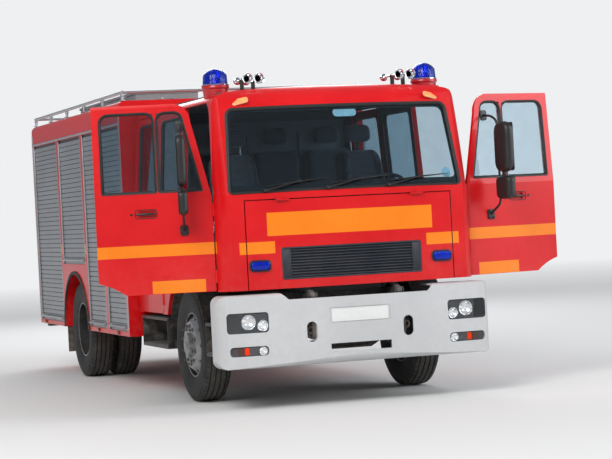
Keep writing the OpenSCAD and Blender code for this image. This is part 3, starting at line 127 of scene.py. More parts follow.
floor_material, tree, shader = shaded("studio_floor")
feed(shader, {"Base Color": (0.66, 0.66, 0.655, 1), "Roughness": 0.9})
distance = wire(tree, "ShaderNodeVectorMath", {0: wire(tree, "ShaderNodeTexCoord").outputs["Object"]},
    operation="LENGTH").outputs["Value"]
fade = wire(tree, "ShaderNodeMapRange", {"Value": distance, "From Min": 9.0, "From Max": 38.0})
glow = wire(tree, "ShaderNodeEmission", {"Color": backdrop_white})
blend = wire(tree, "ShaderNodeMixShader", {0: fade.outputs["Result"], 1: shader.outputs[0],
    2: glow.outputs[0]})
feed(tree.nodes["Material Output"], {"Surface": blend.outputs[0]})
floor_mesh = bpy.data.meshes.new("studio_floor")
floor_corners = ((-1, -1), (1, -1), (1, 1), (-1, 1))
floor_mesh.from_pydata([(x * floor_reach, y * floor_reach, floor_z) for x, y in floor_corners], [],
    [(0, 1, 2, 3)])
floor_mesh.materials.append(floor_material)
studio_floor = bpy.data.objects.new("studio_floor", floor_mesh)
bpy.context.scene.collection.objects.link(studio_floor)

lit_spot = Vector((0, 0, 1.2))
for name, spot, size, power, colour in (
        ("key_light", (-9, -13, 11), 7.0, 1900, (1.0, 0.98, 0.95)),
        ("fill_light", (11, -9, 6), 8.0, 900, (0.95, 0.97, 1.0)),
        ("rear_light", (3, 12, 9), 8.0, 900, (1.0, 1.0, 1.0))):
    lamp_data = bpy.data.lights.new(name, "AREA")
    lamp_data.size = size
    lamp_data.energy = power
    lamp_data.color = colour
    lamp = bpy.data.objects.new(name, lamp_data)
    lamp.location = spot
    lamp.rotation_mode = "QUATERNION"
    lamp.rotation_quaternion = (lit_spot - Vector(spot)).to_track_quat("-Z", "Y")
    bpy.context.scene.collection.objects.link(lamp)
bpy.context.scene.view_settings.view_transform = "Standard"

# Frame rails, cross members and running gear
# Pressed and cast steel, sprayed satin black over welds and scale, with road dust low down.
# The painter's shared effects are made here: clouded colour, dust that thins with height, fine grain.


class Field:
    """A number that varies over a surface. Sums, products and comparisons of it are Math nodes of its
    shader tree, and a comparison gives a mask that is 1 where it holds."""

    def __init__(self, socket):
        self.socket = socket
        self.tree = socket.id_data

    def math(self, operation, *others):
        """One Math node, with this value as its first input."""
        inputs = dict(enumerate((self,) + others))
        return Field(wire(self.tree, "ShaderNodeMath", inputs, operation=operation).outputs[0])

    def __add__(self, other):
        return self.math("ADD", other)

    def __sub__(self, other):
        return self.math("SUBTRACT", other)

    def __rsub__(self, other):
        return self.math("MULTIPLY_ADD", -1.0, other)

    def __mul__(self, other):
        return self.math("MULTIPLY", other)

    def __lt__(self, other):
        return self.math("LESS_THAN", other)

    def __gt__(self, other):
        return self.math("GREATER_THAN", other)

    def __abs__(self):
        return self.math("ABSOLUTE")

    def within(self, low, high):
        """A mask that is 1 from low to high."""
        return self.math("COMPARE", (low + high) / 2, (high - low) / 2)

    def ramp(self, low, high, first=0.0, last=1.0):
        """This value carried from the range low..high onto first..last, and held there."""
        return Field(wire(self.tree, "ShaderNodeMapRange", {"Value": self, "From Min": low, "From Max": high,
            "To Min": first, "To Max": last}).outputs[0])


Axes = namedtuple("Axes", "x y z")


def split(vector):
    """The three parts of a vector."""
    return Axes(*[Field(part) for part in wire(vector.id_data, "ShaderNodeSeparateXYZ", {0: vector}).outputs])


def axes(tree, space="Object"):
    """Where the surface is, or with the space Normal which way it looks."""
    return split(wire(tree, "ShaderNodeTexCoord").outputs[space])


def noise(tree, scale, detail, roughness=0.5, place=None):
    """Cloudy noise over the surface."""
    place = place or wire(tree, "ShaderNodeTexCoord").outputs["Object"]
    return Field(wire(tree, "ShaderNodeTexNoise", {"Vector": place, "Scale": scale, "Detail": detail,
        "Roughness": roughness}).outputs["Fac"])


def bump(tree, height, strength, distance):
    """A normal pushed about by height, at most distance metres."""
    return wire(tree, "ShaderNodeBump", {"Height": height, "Strength": strength,
        "Distance": distance}).outputs[0]


def mix(tree, share, first, second, blend="MIX"):
    """Two colours mixed by share."""
    return wire(tree, "ShaderNodeMix", {0: share, 6: first, 7: second}, data_type="RGBA",
        blend_type=blend).outputs[2]


def effect(name, inputs, outputs):
    """A new node group with its sockets, and what goes into it."""
    group = bpy.data.node_groups.new(name, "ShaderNodeTree")
    for label, kind, value in inputs:
        group.interface.new_socket(label, in_out="INPUT", socket_type=kind).default_value = value
    for label, kind in outputs:
        group.interface.new_socket(label, in_out="OUTPUT", socket_type=kind)
    return group, wire(group, "NodeGroupInput").outputs, wire(group, "NodeGroupOutput")


def weathering_effect():
    """Colour clouded by broad noise, dust that thins out with height, roughness to match, and a fine grain
    as a bump."""
    group, given, out = effect("weathering",
        (("Color", "NodeSocketColor", (0.8, 0.8, 0.8, 1)), ("Roughness", "NodeSocketFloat", 0.4),
         ("Dust", "NodeSocketFloat", 0.3), ("Grain Scale", "NodeSocketFloat", 300.0),
         ("Grain Depth", "NodeSocketFloat", 0.1)),
        (("Color", "NodeSocketColor"), ("Roughness", "NodeSocketFloat"), ("Normal", "NodeSocketVector")))
    cloud = noise(group, 2.2, 5.0, 0.6)
    patches = (cloud * noise(group, 19.0, 4.0)).ramp(0.16, 0.42)
    dust = axes(group).z.ramp(0.25, 1.5, 1.0, 0.1) * patches * given["Dust"]
    toned = mix(group, 1.0, given["Color"], cloud.ramp(0.3, 0.7, 0.9, 1.06), "MULTIPLY")
    rough = cloud.math("MULTIPLY_ADD", 0.14, given["Roughness"]) + dust.math("MULTIPLY_ADD", 0.5, -0.07)
    grain = noise(group, given["Grain Scale"], 2.0)
    feed(out, {"Color": mix(group, dust, toned, (0.24, 0.2, 0.16, 1)), "Roughness": rough,
        "Normal": bump(group, grain, given["Grain Depth"], 0.001)})
    return group


weathering = weathering_effect()


def finish(name, color, roughness, dust=0.3, grain=300.0, depth=0.1, metallic=0.0, coat=0.0, bands=(),
    **constants):
    """A material: the weathering over a base colour, in which each band (mask maker, colour) is laid."""
    material, tree, shader = shaded(name)
    if bands:
        spot, facing = axes(tree), axes(tree, "Normal")
        for mask, tint in bands:
            color = mix(tree, mask(spot, facing), color, tint)
    worn = wire(tree, "ShaderNodeGroup", {"Color": color, "Roughness": roughness, "Dust": dust,
        "Grain Scale": grain, "Grain Depth": depth}, node_tree=weathering).outputs
    feed(shader, {"Base Color": worn["Color"], "Roughness": worn["Roughness"], "Normal": worn["Normal"],
        "Metallic": metallic, "Coat Weight": coat})
    feed(shader, {socket.replace("_", " "): value for socket, value in constants.items()})
    return material


def lay_on(material, *names):
    """Gives CAD nodes one material."""
    for name in names:
        slots = nodes[name].data.materials
        slots.clear()
        slots.append(material)


def points_at(x, y, z):
    """Points from three numbers or arrays, stretched to one size."""
    return np.stack(np.broadcast_arrays(x, y, z), axis=-1)


def circle(radius, count, start=0.0):
    """Pairs (radius cos a, radius sin a), evenly spaced from the angle start."""
    turn = start + np.arange(count) * 2 * np.pi / count
    return radius * np.column_stack((np.cos(turn), np.sin(turn)))


def lattice(points, wrap_rows=False, wrap_columns=False):
    """A grid of points (rows, columns, 3) as vertices and quads, closed round along its rows or columns."""
    rows, columns = points.shape[:2]
    index = np.arange(rows * columns).reshape(rows, columns)
    if wrap_rows:
        index = np.vstack((index, index[:1]))
    if wrap_columns:
        index = np.hstack((index, index[:, :1]))
    quads = np.stack((index[:-1, :-1], index[:-1, 1:], index[1:, 1:], index[1:, :-1]), axis=-1)
    return points.reshape(-1, 3), quads.reshape(-1, 4)


def together(*parts):
    """Several (vertices, quads) as one."""
    points, quads = zip(*parts)
    starts = np.cumsum([0] + [len(group) for group in points[:-1]])
    return np.vstack(points), np.vstack([group + start for group, start in zip(quads, starts)])


def repeated(part, moves):
    """A part once for each 4 by 4 matrix in moves, all in one product."""
    points, quads = part
    moves = np.asarray(moves, dtype=float).reshape(-1, 4, 4)
    moved = np.einsum("kij,nj->kni", moves[:, :3, :3], points) + moves[:, None, :3, 3]
    counted = quads[None] + (np.arange(len(moves)) * len(points))[:, None, None]
    return moved.reshape(-1, 3), counted.reshape(-1, 4)


def shifted(part, *spots):
    """The part, unturned, at each spot."""
    moves = np.tile(np.eye(4), (len(spots), 1, 1))
    moves[:, :3, 3] = spots
    return repeated(part, moves)


def mirrored(part):
    """The part's mirror image in the plane x = 0."""
    points, quads = part
    return points * (-1, 1, 1), quads[:, ::-1]


def both_sides(part):
    """The part and its mirror image."""
    return together(part, mirrored(part))


def aim(origin, direction, across=(1, 0, 0)):
    """A matrix that stands local Z along direction at origin, with local X as near to across as it can be."""
    ahead = np.array(direction, dtype=float) / np.linalg.norm(direction)
    side = np.cross(ahead, across)
    side /= np.linalg.norm(side)
    move = np.eye(4)
    move[:3, :3] = np.column_stack((np.cross(side, ahead), side, ahead))
    move[:3, 3] = origin
    return move


def placed(part, origin, direction, across=(1, 0, 0)):
    """The part once, stood at origin along direction."""
    return repeated(part, [aim(origin, direction, across)])


def turned(profile, steps=32):
    """A profile of (radius, height) carried round local Z: x = r cos a, y = r sin a, z = height."""
    profile = np.asarray(profile, dtype=float)
    turn = np.linspace(0, 2 * np.pi, steps, endpoint=False)
    reach, height = profile[:, :1], profile[:, 1:]
    return lattice(points_at(reach * np.cos(turn), reach * np.sin(turn), height), wrap_columns=True)


def tube(path, radius, sides=12, up=(0, 0, 1)):
    """A round bar along a path, closed at its ends: each ring stands square to the path, measured from up."""
    path = np.asarray(path, dtype=float)
    ahead = np.gradient(path, axis=0)
    ahead /= np.linalg.norm(ahead, axis=1, keepdims=True)
    side = np.cross(ahead, up)
    side /= np.linalg.norm(side, axis=1, keepdims=True)
    over = np.cross(side, ahead)
    turn = np.linspace(0, 2 * np.pi, sides, endpoint=False)[None, :, None]
    reach = np.broadcast_to(radius, len(path))[:, None, None]
    rings = path[:, None] + reach * (np.cos(turn) * side[:, None] + np.sin(turn) * over[:, None])
    ends = [np.repeat(path[end][None, None], sides, axis=1) for end in (0, -1)]
    return lattice(np.concatenate((ends[0], rings, ends[1])), wrap_columns=True)


def capped(rings):
    """A closed skin over rings of points, each end drawn in to its middle."""
    ends = [np.broadcast_to(rings[end].mean(axis=0), rings[end].shape)[None] for end in (0, -1)]
    return lattice(np.concatenate((ends[0], rings, ends[1])), wrap_columns=True)


def rounded(corners, radius, steps=5):
    """A path through corners, each but the ends rounded by a quadratic curve that starts radius before it."""
    corners = np.asarray(corners, dtype=float)
    share = np.linspace(0, 1, steps + 1)[:, None]
    path = [corners[:1]]
    for before, corner, after in zip(corners[:-2], corners[1:-1], corners[2:]):
        first = corner + (before - corner) * min(0.5, radius / np.linalg.norm(before - corner))
        last = corner + (after - corner) * min(0.5, radius / np.linalg.norm(after - corner))
        path.append((1 - share) ** 2 * first + 2 * share * (1 - share) * corner + share ** 2 * last)
    return np.vstack(path + [corners[-1:]])


def rectangle(half_x, half_y, corner, inset=0.0, steps=5):
    """A loop round a rectangle with round corners, drawn in by inset."""
    turn = (np.arange(4)[:, None] + np.linspace(0, 1, steps + 1)) * np.pi / 2
    signs = np.array(((1, 1), (-1, 1), (-1, -1), (1, -1)))[:, None, :]
    arcs = (corner - inset) * np.stack((np.cos(turn), np.sin(turn)), axis=-1)
    return (signs * (half_x - corner, half_y - corner) + arcs).reshape(-1, 2)


def rounded_block(size, corner, edge, steps=5, edge_steps=3):
    """A block centred on the origin: a rectangle with round corners, both rims rounded. Ring a of a rim is
    the outline drawn in by edge (1 - cos a), at the height h/2 - edge (1 - sin a)."""
    half_x, half_y, half_z = np.array(size) / 2
    lift = np.linspace(np.pi / 2, 0, edge_steps + 1)
    heights = half_z - edge * (1 - np.sin(lift))
    insets = edge * (1 - np.cos(lift))
    rings = [points_at(*rectangle(half_x, half_y, corner, inset, steps).T, height)
        for inset, height in zip(np.r_[insets, insets[::-1]], np.r_[heights, -heights[::-1]])]
    middle = np.zeros_like(rings[0])
    return lattice(np.stack([middle + (0, 0, half_z)] + rings + [middle - (0, 0, half_z)]), wrap_columns=True)


def plate(front, back):
    """Two grids of one size as the faces of a closed plate."""
    loops = [np.vstack((face[0], face[1:, -1], face[-1, -2::-1], face[-2:0:-1, 0])) for face in (front, back)]
    return together(lattice(front), lattice(back[::-1]), lattice(np.stack(loops), wrap_columns=True))


def welded(mesh):
    """The mesh with doubled points merged and its faces turned outwards."""
    shape = bmesh.new()
    shape.from_mesh(mesh)
    bmesh.ops.remove_doubles(shape, verts=shape.verts, dist=2e-5)
    bmesh.ops.recalc_face_normals(shape, faces=shape.faces)
    shape.to_mesh(mesh)
    shape.free()
    return mesh


def piece(name, part, material, body, slot, replaced=(), smooth=35.0):
    """A finished object, its edges sharper than smooth degrees kept crisp."""
    points, quads = part
    mesh = bpy.data.meshes.new(name)
    mesh.vertices.add(len(points))
    mesh.vertices.foreach_set("co", np.ascontiguousarray(points, dtype=np.float32).ravel())
    mesh.loops.add(quads.size)
    mesh.loops.foreach_set("vertex_index", np.ascontiguousarray(quads, dtype=np.int32).ravel())
    mesh.polygons.add(len(quads))
    mesh.polygons.foreach_set("loop_start", np.arange(0, quads.size, 4, dtype=np.int32))
    mesh.update(calc_edges=True)
    welded(mesh)
    mesh.polygons.foreach_set("use_smooth", np.ones(len(mesh.polygons), dtype=bool))
    mesh.set_sharp_from_angle(angle=math.radians(smooth))
    mesh.materials.append(material)
    made = bpy.data.objects.new(name, mesh)
    bpy.context.scene.collection.objects.link(made)
    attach(made, body)
    if replaced:
        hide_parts(*replaced)
    return made


def joint_at(name):
    """Where a joint's axis passes, in the frame."""
    return Vector(next(joint for joint in frame["joints"] if joint["name"] == name)["pos_m"])


front_axle_y, wheel_z = joint_at("wheel_front_left_spin").yz
rear_axle_y = joint_at("wheels_rear_left_spin").y
hex_head = turned(((0, 0.0105), (0.0075, 0.0105), (0.0098, 0.0085), (0.0098, 0.0025), (0.0098, 0.0024)), 6)
washer = turned(((0.0098, 0.0024), (0.0125, 0.0024), (0.0125, 0), (0, 0)), 12)
bolt = together(hex_head, washer)

rail_face_x = 0.43
hanger_face_x = 0.44
member_y = front_axle_y + np.array((-1.07, 1.18, 2.19, 3.19, 3.8, 4.4, 5.4, 6.06))
hanger_y = np.array([axle + eye for axle in (front_axle_y, rear_axle_y) for eye in (-0.82, 0.82)])
member_bolts = [(rail_face_x, y + dy, z) for y in member_y for dy in (-0.024, 0.024) for z in (0.8, 0.9)]
hanger_bolts = [(hanger_face_x, y + dy, z) for y in hanger_y for dy in (-0.022, 0.022) for z in (0.74, 0.83)]
bolt_moves = [aim(spot, (1, 0, 0), (0, 1, 0)) for spot in member_bolts + hanger_bolts]
frame_bolts = both_sides(repeated(bolt, bolt_moves))

chassis_paint = finish("chassis_paint", (0.022, 0.022, 0.024, 1), 0.42, dust=0.75, grain=180, depth=0.25)
cast_iron = finish("cast_iron", (0.035, 0.034, 0.034, 1), 0.55, dust=0.8, grain=260, depth=0.9)
lay_on(chassis_paint, "chassis_frame", "cross_members", "air_tanks", "leaf_springs", "entry_steps")
lay_on(cast_iron, "front_axle", "rear_axle", "knuckle_left", "knuckle_right", "tie_rod", "propshaft")
lay_on(finish("engine_paint", (0.13, 0.14, 0.15, 1), 0.5, dust=0.7, grain=120, depth=0.6), "engine")
lay_on(finish("silencer_steel", (0.25, 0.24, 0.22, 1), 0.5, dust=0.7, grain=60, depth=0.2, metallic=0.8),
    "exhaust")
lay_on(finish("tank_alloy", (0.55, 0.56, 0.57, 1), 0.3, dust=0.5, grain=90, depth=0.1, metallic=1.0),
    "fuel_tank")
piece("frame_bolts", frame_bolts, chassis_paint, "chassis", "chassis_black")

# Tyres
# Steel-belted truck tyres in black rubber, 1010 mm across, with four circumferential grooves.
# Each is one grid: a section carried round the axle, with grooves and shoulder notches pressed into it.
tyre_section = np.array(((0.095, 0.2865), (0.103, 0.296), (0.112, 0.318), (0.1185, 0.345), (0.1245, 0.38),
    (0.1268, 0.412), (0.1258, 0.44), (0.122, 0.462), (0.1215, 0.4665), (0.1195, 0.468), (0.114, 0.482),
    (0.106, 0.4945), (0.0985, 0.4995), (0.094, 0.5012), (0.078, 0.5033), (0.0775, 0.5034), (0.0755, 0.5035),
    (0.0675, 0.5037), (0.0655, 0.5038), (0.048, 0.5045), (0.029, 0.5047), (0.027, 0.5048), (0.019, 0.505),
    (0.017, 0.505), (0.0, 0.505)))
tread_blocks = 56


def tyre(centre_x):
    """Radius at angle a and width x: the section's radius, less 13 mm in the grooves at x = 23 and 71.5 mm
    either side, less 9 mm in notches across the shoulder, 56 to a turn, and a shallow zigzag that walks the
    block edges sideways."""
    half = tyre_section
    section = np.vstack((half[:-1], half[::-1] * (-1, 1)))
    section = np.vstack((section, ((-0.093, 0.272), (0.093, 0.272))))
    steps = np.array((0.0, 0.04, 0.34, 0.62, 0.66, 0.96))
    turn = ((np.arange(tread_blocks)[:, None] + steps) / tread_blocks).ravel() * 2 * np.pi
    in_block = np.tile(steps, tread_blocks)
    width = np.abs(section[:, 0])
    grooved = ((width > 0.0185) & (width < 0.0275)) | ((width > 0.067) & (width < 0.076))
    shoulder = np.clip((width - 0.078) / 0.02, 0, 1) * (section[:, 1] > 0.475)
    notch = ((in_block > 0.64) & (in_block < 0.98)).astype(float)
    radius = section[:, 1] - 0.013 * grooved - 0.009 * notch[:, None] * shoulder
    on_tread = (section[:, 1] > 0.5) & (width < 0.09)
    sway = 0.0022 * np.sin(turn * tread_blocks / 2)[:, None] * on_tread
    points = points_at(centre_x + section[:, 0] + sway, radius * np.sin(turn)[:, None],
        radius * np.cos(turn)[:, None])
    return lattice(points, wrap_rows=True, wrap_columns=True)


def rubber_effect():
    """Black rubber: fine radial ribs and rings on the sidewall, brown dust in patches, scuffed paler on the
    tread."""
    group, given, out = effect("rubber", (("Axle", "NodeSocketVector", (0, 0, 0)),),
        (("Color", "NodeSocketColor"), ("Roughness", "NodeSocketFloat"), ("Height", "NodeSocketFloat")))
    place = wire(group, "ShaderNodeTexCoord").outputs["Object"]
    local = wire(group, "ShaderNodeVectorMath", {0: place, 1: given["Axle"]}, operation="SUBTRACT").outputs[0]
    _, y, z = split(local)
    radius = (y * y + z * z).math("SQRT")
    ribs = (y.math("ARCTAN2", z) * 300.0).math("SINE")
    rib_zone = radius.within(0.428, 0.442) + radius.within(0.352, 0.362)
    rings = (radius * 900.0).math("SINE") * radius.within(0.37, 0.385)
    relief = ribs * rib_zone * 0.5 + rings * 0.5
    tread = radius.ramp(0.47, 0.5)
    dust = noise(group, 7.0, 6.0, 0.65).ramp(0.42, 0.72) * tread.math("MULTIPLY_ADD", 0.35, 0.35)
    worn = radius.ramp(0.498, 0.5035)
    base = mix(group, worn, (0.013, 0.013, 0.0135, 1), (0.034, 0.033, 0.032, 1))
    feed(out, {"Color": mix(group, dust, base, (0.11, 0.095, 0.075, 1)),
        "Roughness": dust.math("MULTIPLY_ADD", 0.3, 0.62), "Height": relief + noise(group, 420.0, 3.0) * 0.6})
    return group


rubber = rubber_effect()


def rubber_finish(name, axle_y):
    """Tyre rubber about an axle at axle_y."""
    material, tree, shader = shaded(name)
    made = wire(tree, "ShaderNodeGroup", {"Axle": (0, axle_y, wheel_z)}, node_tree=rubber).outputs
    feed(shader, {"Base Color": made["Color"], "Roughness": made["Roughness"],
        "Normal": bump(tree, made["Height"], 0.5, 0.0015)})
    return material


tyre_materials = {"front": rubber_finish("front_tyre_rubber", front_axle_y),
    "rear": rubber_finish("rear_tyre_rubber", rear_axle_y)}
for end, axle_y, centres in (("front", front_axle_y, (0.98,)), ("rear", rear_axle_y, (0.78, 1.08))):
    for side, sign in (("left", 1), ("right", -1)):
        tyres = shifted(together(*[tyre(sign * centre) for centre in centres]), (0, axle_y, wheel_z))
        name = "front_tyre" if end == "front" else "rear_tyres"
        body = f"wheel_front_{side}" if end == "front" else f"wheels_rear_{side}"
        piece(f"{name}_{side}_treaded", tyres, tyre_materials[end], body, "tyre_rubber",
            [f"{name}_{side}"], smooth=40)

# Front bumper and its lamps
# Moulded plastic bumper in light grey, bolted to the frame; dark lamp housings with pressed chrome bowls
# behind clear covers; round fog lamps, orange indicators, a bare plate, and steel eyes behind the towing
# holes.
bumper_low, bumper_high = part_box("front_bumper")
front_bow = 14.0
bumper_corner = 0.19
lamp_opening = ((0.8, 1.158), (0.65, 0.82))
fog_opening = ((0.81, 1.14), (0.46, 0.54))
lamp_bowls = ((0.851, 0.708, 0.043), (0.972, 0.742, 0.06))
fog_bowl = (0.856, 0.5, 0.033)
bowl_depth = 0.62
opening_corner = 0.03
louvre_start = 1.048
plate_half = (0.255, 0.056)
plate_middle_z = 0.755
indicator = (1.03, 0.5, 0.056, 0.03)
towing_eye_at = (0.43, 0.63)


def bowed(x, inset, half_width, corner):
    """How far a front bowed in plan has run back at x, drawn in by inset: the deeper of a 14 m bow and a
    round corner."""
    over = np.clip(np.abs(x) - (half_width - corner), 0, None)
    bow = inset + front_bow - np.sqrt(front_bow ** 2 - np.square(x))
    turn = corner - np.sqrt(np.clip((corner - inset) ** 2 - over ** 2, 1e-6, None))
    return np.maximum(bow, turn)


def bumper_skin(x, inset):
    """Y of the bumper's face at x, drawn in by inset."""
    return bumper_low.y + bowed(x, inset, bumper_high.x, bumper_corner)


def over_opening(opening, columns, rows, margin):
    """X and Z over a round-cornered opening, margin inside its edges: each row is as wide as the outline is
    there."""
    (x0, x1), (z0, z1) = opening
    half_x, half_z = (x1 - x0) / 2 - margin, (z1 - z0) / 2 - margin
    corner = opening_corner - margin
    turn = np.linspace(np.pi / 2, 0, 9)
    ends = half_z - corner + corner * np.sin(turn)
    widths = half_x - corner + corner * np.cos(turn)
    middle = np.linspace(corner - half_z, half_z - corner, rows - 16)[1:-1]
    height = np.concatenate((-ends, middle, ends[::-1]))
    width = np.concatenate((widths, np.full(len(middle), half_x), widths[::-1]))
    x = (x0 + x1) / 2 + width[:, None] * np.linspace(-1, 1, columns)
    return x, np.broadcast_to(((z0 + z1) / 2 + height)[:, None], x.shape)


def from_edge(opening, x, z):
    """How far a point lies inside a round-cornered opening."""
    (x0, x1), (z0, z1) = opening
    past_x = np.abs(x - (x0 + x1) / 2) - (x1 - x0) / 2 + opening_corner
    past_z = np.abs(z - (z0 + z1) / 2) - (z1 - z0) / 2 + opening_corner
    outside = np.hypot(np.clip(past_x, 0, None), np.clip(past_z, 0, None))
    return opening_corner - outside - np.minimum(np.maximum(past_x, past_z), 0)


def lamp_housing(opening, bowls, columns, rows, louvres):
    """A dark shell over (x, z): a rim at the skin, a floor 11 mm behind it, and round each bowl a deeper
    well of depth 46 mm (1 - (r/R)^2)^1/2; beyond the louvres' start the floor steps back and forth with x
    as a saw of 14 mm pitch and 9 mm depth."""
    x, z = over_opening(opening, columns, rows, 0.0006)
    edge = from_edge(opening, x, z)
    depth = 0.003 + 0.008 * np.clip((edge - 0.004) / 0.005, 0, 1)
    if louvres:
        saw = (x - louvre_start) / 0.014 % 1
        depth = np.where((x > louvre_start) & (edge > 0.008), 0.006 + 0.009 * saw, depth)
    for bowl_x, bowl_z, reach in bowls:
        share = ((x - bowl_x) ** 2 + (z - bowl_z) ** 2) / (reach + 0.001) ** 2
        depth = np.where(share < 1, 0.011 + 0.04 * np.sqrt(np.clip(1 - share, 0, 1)), depth)
    return plate(points_at(x, bumper_skin(x, 0.0) + depth, z), points_at(x, bumper_skin(x, 0.056), z))


def lamp_moves(spots, inset):
    """A matrix for each round lamp: local Z looks ahead, its origin on the skin drawn in by inset."""
    return [aim((x, bumper_skin(x, inset), z), (0, -1, 0)) for x, z, _ in spots]


def reflector(reach):
    """A chrome bowl: a bead of 3 mm round the rim, then depth 0.62 R (1 - (r/R)^2), with a flat seat for
    the bulb."""
    share = np.linspace(1, 0.2, 14)
    bowl = np.column_stack((share * reach, -bowl_depth * reach * (1 - share ** 2)))
    rim = ((reach + 0.003, -0.003), (reach + 0.0035, 0.001), (reach + 0.002, 0.003), (reach, 0.002))
    back = bowl[::-1] + (0.0, -0.0015)
    return turned(np.vstack((rim, bowl, ((0, bowl[-1][1]),), ((0, back[0][1]),), back[:-1], rim[:1])), 40)


def bulb(reach):
    """A glass capsule on the bowl's axis, 26 mm long, standing on the bowl's seat."""
    seat = -bowl_depth * reach * 0.96
    return turned(((0, seat + 0.026), (0.004, seat + 0.025), (0.0055, seat + 0.021), (0.0055, seat),
        (0, seat)), 14)


def clear_cover(opening, columns, rows):
    """A cover 2 mm thick that follows the skin, over (x, z)."""
    x, z = over_opening(opening, columns, rows + 18, 0.001)
    front = points_at(x, bumper_skin(x, 0.0005), z)
    return plate(front, front + (0, 0.002, 0))


def seen_through(material, tint):
    """Lets light for shadows through a glass, tinted, so that what stands behind it is lit."""
    tree = material.node_tree
    passing = wire(tree, "ShaderNodeBsdfTransparent", {"Color": tint})
    shadow = wire(tree, "ShaderNodeLightPath").outputs["Is Shadow Ray"]
    either = wire(tree, "ShaderNodeMixShader", {0: shadow, 1: tree.nodes["Principled BSDF"].outputs[0],
        2: passing.outputs[0]})
    feed(tree.nodes["Material Output"], {"Surface": either.outputs[0]})
    return material


def clear_finish(name, tint, roughness, ior, rib_pitch=0.0, shadow=(0.9, 0.9, 0.9, 1)):
    """Clear moulding: the tint thinned and thickened by faint clouds, with moulded flutes rib_pitch apart."""
    material, tree, shader = shaded(name)
    cloud = noise(tree, 9.0, 4.0)
    feed(shader, {"Base Color": mix(tree, 1.0, tint, cloud.ramp(0.3, 0.7, 0.93, 1.0), "MULTIPLY"),
        "Roughness": cloud.ramp(0.35, 0.8, roughness, roughness + 0.06),
        "Transmission Weight": 1.0, "IOR": ior})
    if rib_pitch:
        flute = abs((axes(tree).x * (math.pi / rib_pitch)).math("SINE"))
        feed(shader, {"Normal": bump(tree, flute, 0.5, 0.0012)})
    return seen_through(material, shadow)


def towing_eye():
    """A steel loop of round bar on a stub: a ring of radius 26 mm, its plane upright."""
    turn = np.linspace(-0.42 * np.pi, 1.42 * np.pi, 33)
    ring = points_at(0.026 * np.cos(turn), 0, 0.026 * np.sin(turn))
    stub = tube(((0, 0.0, -0.026), (0, 0.04, -0.028), (0, 0.1, -0.028)), 0.012, 12)
    return together(tube(ring, 0.008, 12, (0, 1, 0)), stub)


bumper_grey = finish("bumper_grey", (0.5, 0.51, 0.52, 1), 0.42, dust=0.16, grain=900, depth=0.12, coat=0.15,
    Coat_Roughness=0.2)
lamp_dark = finish("lamp_dark", (0.018, 0.02, 0.024, 1), 0.22, dust=0.05, grain=500, depth=0.05, coat=0.4)
lamp_chrome = finish("lamp_chrome", (0.82, 0.83, 0.85, 1), 0.08, dust=0.0, grain=60, depth=0.03, metallic=1.0)
bulb_glass = finish("bulb_glass", (0.95, 0.93, 0.88, 1), 0.1, dust=0.0, grain=100, depth=0.02, coat=0.6)
cover_clear = clear_finish("cover_clear", (0.97, 0.98, 0.99, 1), 0.02, 1.3)
indicator_orange = clear_finish("indicator_orange", (0.95, 0.2, 0.015, 1), 0.12, 1.35, rib_pitch=0.006,
    shadow=(1, 0.3, 0.05, 1))
orange_back = finish("orange_back", (0.7, 0.12, 0.01, 1), 0.25, dust=0.0, grain=300, depth=0.1)
towing_steel = finish("towing_steel", (0.1, 0.1, 0.105, 1), 0.5, dust=0.5, grain=200, depth=0.4, metallic=0.7)
plate_white = finish("plate_white", (0.72, 0.73, 0.72, 1), 0.3, dust=0.12, grain=400, depth=0.05, coat=0.3)
lay_on(bumper_grey, "front_bumper")

housings = together(lamp_housing(lamp_opening, lamp_bowls, 150, 74, True),
    lamp_housing(fog_opening, [fog_bowl], 110, 34, False))
piece("lamp_housings", both_sides(housings), lamp_dark, "chassis", "lamp_lens", ["headlamps"], smooth=32)
all_bowls = lamp_bowls + (fog_bowl,)
bowls = together(*[repeated(reflector(spot[2]), lamp_moves([spot], 0.009)) for spot in all_bowls])
piece("lamp_reflectors", both_sides(bowls), lamp_chrome, "chassis", "lamp_lens", smooth=40)
bulbs = together(*[repeated(bulb(spot[2]), lamp_moves([spot], 0.009)) for spot in all_bowls])
piece("lamp_bulbs", both_sides(bulbs), bulb_glass, "chassis", "lamp_lens")
covers = together(clear_cover(lamp_opening, 24, 6), clear_cover(fog_opening, 24, 4))
piece("lamp_covers", both_sides(covers), cover_clear, "chassis", "lamp_lens", smooth=50)
indicator_x, indicator_z, indicator_half, indicator_rise = indicator
indicator_block = rounded_block((2 * indicator_half, 2 * indicator_rise, 0.012), 0.01, 0.004)
for name, inset, material in (("indicators", 0.009, indicator_orange),
        ("indicator_backs", 0.02, orange_back)):
    spot = (indicator_x, bumper_skin(indicator_x, inset), indicator_z)
    piece(name, both_sides(placed(indicator_block, spot, (0.25, -1, 0))), material, "chassis", "lamp_lens")
plate_move = aim((0, bumper_low.y + 0.0035, plate_middle_z), (0, -1, 0))
plate_part = rounded_block((*np.multiply(plate_half, 2), 0.004), 0.012, 0.0015)
rim_section = ((0.003, 0.002), (0.0035, 0.0035), (0.0065, 0.0035), (0.007, 0.002))
rim_loops = [points_at(*rectangle(*plate_half, 0.012, inset).T, height) for inset, height in rim_section]
plate_rim = lattice(np.stack(rim_loops), wrap_rows=True, wrap_columns=True)
piece("number_plate", repeated(together(plate_part, plate_rim), [plate_move]), plate_white, "chassis",
    "bumper_grey")
eye_x, eye_z = towing_eye_at
eye_spot = (eye_x, bumper_low.y + 0.055, eye_z + 0.01)
piece("towing_eyes", both_sides(placed(towing_eye(), eye_spot, (0, 0, 1))), towing_steel, "chassis",
    "chassis_black", smooth=50)

